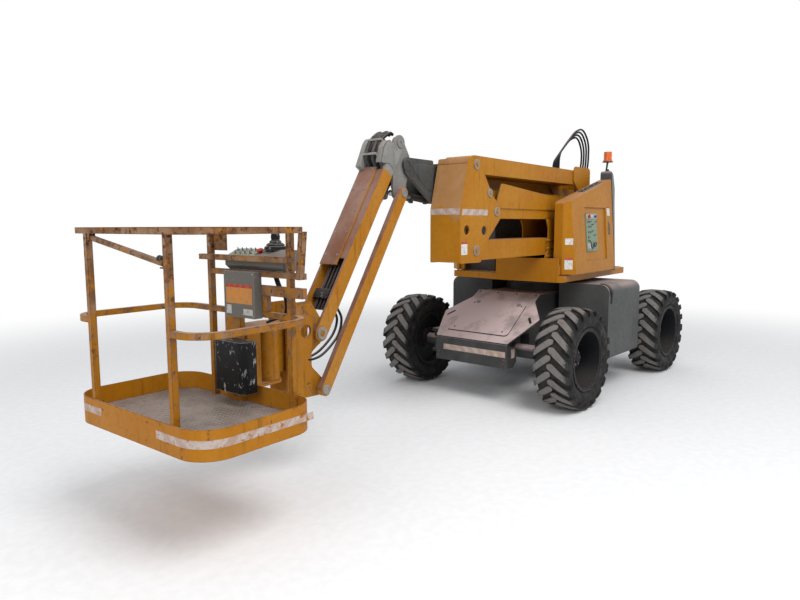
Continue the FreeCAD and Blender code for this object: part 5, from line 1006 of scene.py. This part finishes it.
Shape("desk_plate", "basket", "panel", DESK).box((0.004, -0.004, -0.0004), (0.094, 0.255, 0.0024),
                                                 0.0008).done("console")
buttons = Shape("desk_controls", "basket", "black", DESK)
for x, y in ((0.025, 0.03), (0.025, 0.075), (0.025, 0.12), (0.025, 0.165), (0.025, 0.21), (0.068, 0.05),
             (0.068, 0.10), (0.068, 0.15), (0.068, 0.20)):
    buttons.disc((x, y, 0.0022), UP, 0.0095, 0.004, 0.001, 18)
    buttons.tube([(x, y, 0.006), (x - 0.004, y, 0.022)], [0.0042, 0.0034], 8)
buttons.done("console")
Shape("desk_stop", "basket", "red", DESK).lathe(
    [(-0.0004, 0), (-0.0004, 0.012), (0.012, 0.012), (0.014, 0.021), (0.021, 0.022), (0.026, 0.017),
     (0.028, 0)], (0.046, 0.278, 0)).done()
STICK = (4.4606, 0.35, 1.6663)
stick = Shape("stick_gaiter", "basket", "black")
stick.lathe([(-0.0004, 0), (-0.0004, 0.0700), (0.010, 0.0712), (0.0206, 0.0668), (0.024, 0.056),
             (0.032, 0.0585), (0.0406, 0.0475), (0.044, 0.036), (0.052, 0.0385), (0.0606, 0.0275),
             (0.064, 0.016), (0.070, 0.0128), (0.070, 0)], STICK, UP, 32)
stick.lathe([(0.0585, 0), (0.0585, 0.014), (0.062, 0.0270), (0.084, 0.0290), (0.104, 0.0245), (0.111, 0.013),
             (0.1125, 0)], STICK)
stick.done("console")
BOX_FACE = 4.6424
for name, key, low, high in (("load_label", "label_load", (0.075, 1.330), (0.332, 1.452)),
                             ("box_label_left", "label_box", (0.075, 1.262), (0.125, 1.318)),
                             ("box_label_right", "label_box", (0.245, 1.262), (0.335, 1.300))):
    sign(name, "basket", key, UPPER, ((BOX_FACE, *low), (BOX_FACE + 0.0012, *high)))
hinges = Shape("box_fittings", "basket", "steel")
for z in (1.285, 1.490):
    hinges.disc((4.618, 0.0435, z - 0.021), UP, 0.007, 0.042, sides=14)
    hinges.box((4.600, 0.049, z - 0.018), (4.636, 0.0533, z + 0.018), 0.001)
hinges.done("console")
bolts("box_screws", "basket",
      [((BOX_FACE + 0.0004, y, z), AHEAD, 0.006) for y in (0.066, 0.340) for z in (1.256, 1.518)],
      slot="console")
for index in range(2):
    shift = 0.022 * index
    Shape("desk_lead_%d" % (index + 1), "basket", "hose").tube(curve([
        (4.535, 0.40 + shift, 1.5375), (4.520, 0.402 + shift, 1.505), (4.515, 0.43 + shift, 1.44),
        (4.510, 0.48 + shift, 1.38), (4.490, 0.47, 1.30), (4.470, 0.42, 1.25), (4.44, 0.30, 1.215),
        (4.42, 0.20, 1.185)]), 0.009).done("hose")
Shape("bar_end", "entry_bar", "black").tube([(5.335631, 0.470, 1.652), (5.335631, 0.505, 1.647)], 0.0180,
                                            16).done("black_box")
bpy.data.objects.remove(BOLT)
bpy.data.objects.remove(STUD)


# Stage: a pale floor that fades to white away from the machine

def in_view(net):
    """1 where a ray comes straight or by a mirror or glass, 0 where it only brings light."""
    path = net.add("ShaderNodeLightPath").node.outputs
    mirrored_ray = net.math("MAXIMUM", path["Is Glossy Ray"], path["Is Transmission Ray"])
    return net.math("MAXIMUM", path["Is Camera Ray"], mirrored_ray)


def floor_material():
    made, net, place = material("floor_pale")
    fade = net.times(net.span(net.length(place), 4.6, 10.5), in_view(net))
    speck = net.span(net.noise(place, 14, 4), 0.3, 0.7, 0.80, 0.84)
    grey = net.add("ShaderNodeCombineColor", Red=speck, Green=speck, Blue=speck)
    shader = net.add("ShaderNodeBsdfPrincipled", Base_Color=grey, Roughness=0.9)
    blend = net.pair("ShaderNodeMixShader", fade, shader)
    net.put(blend.node.inputs[2], net.add("ShaderNodeEmission"))
    net.end("ShaderNodeOutputMaterial", blend)
    return made


FLOOR_HALF = 60
sheet = bpy.data.meshes.new("Floor")
sheet.from_pydata([(x * FLOOR_HALF, y * FLOOR_HALF, 0) for x, y in ((-1, -1), (1, -1), (1, 1), (-1, 1))], [],
                  [(0, 1, 2, 3)])
floor = bpy.data.objects.new("Floor", sheet)
bpy.context.collection.objects.link(floor)
floor.data.materials.append(floor_material())

world = bpy.data.worlds.new("Studio")
bpy.context.scene.world = world
world.use_nodes = True
net = Net(world.node_tree)
seen = in_view(net)
light = net.span(net.part(net.add("ShaderNodeTexCoord"), 2), -0.1, 0.9, 0.31, 0.74)
glow = net.add("ShaderNodeBackground", Color=net.mix(seen, (0.93, 0.96, 1.0), (1, 1, 1)),
               Strength=net.span(seen, 0, 1, light, 1.0, "LINEAR"))
net.end("ShaderNodeOutputWorld", glow)


def lamp(name, place, power, across=6):
    """A round lamp aimed at the middle of the machine."""
    data = bpy.data.lights.new(name, "AREA")
    data.energy, data.shape, data.size = power, "DISK", across
    item = bpy.data.objects.new(name, data)
    bpy.context.collection.objects.link(item)
    heading = (Vector((0, 0, 1)) - Vector(place)).to_track_quat("-Z", "Y").to_matrix().to_4x4()
    item.matrix_world = Matrix.Translation(place) @ heading


lamp("Key", (2.5, 6.0, 9.0), 660)
lamp("Fill", (9.0, 1.0, 5.0), 190)
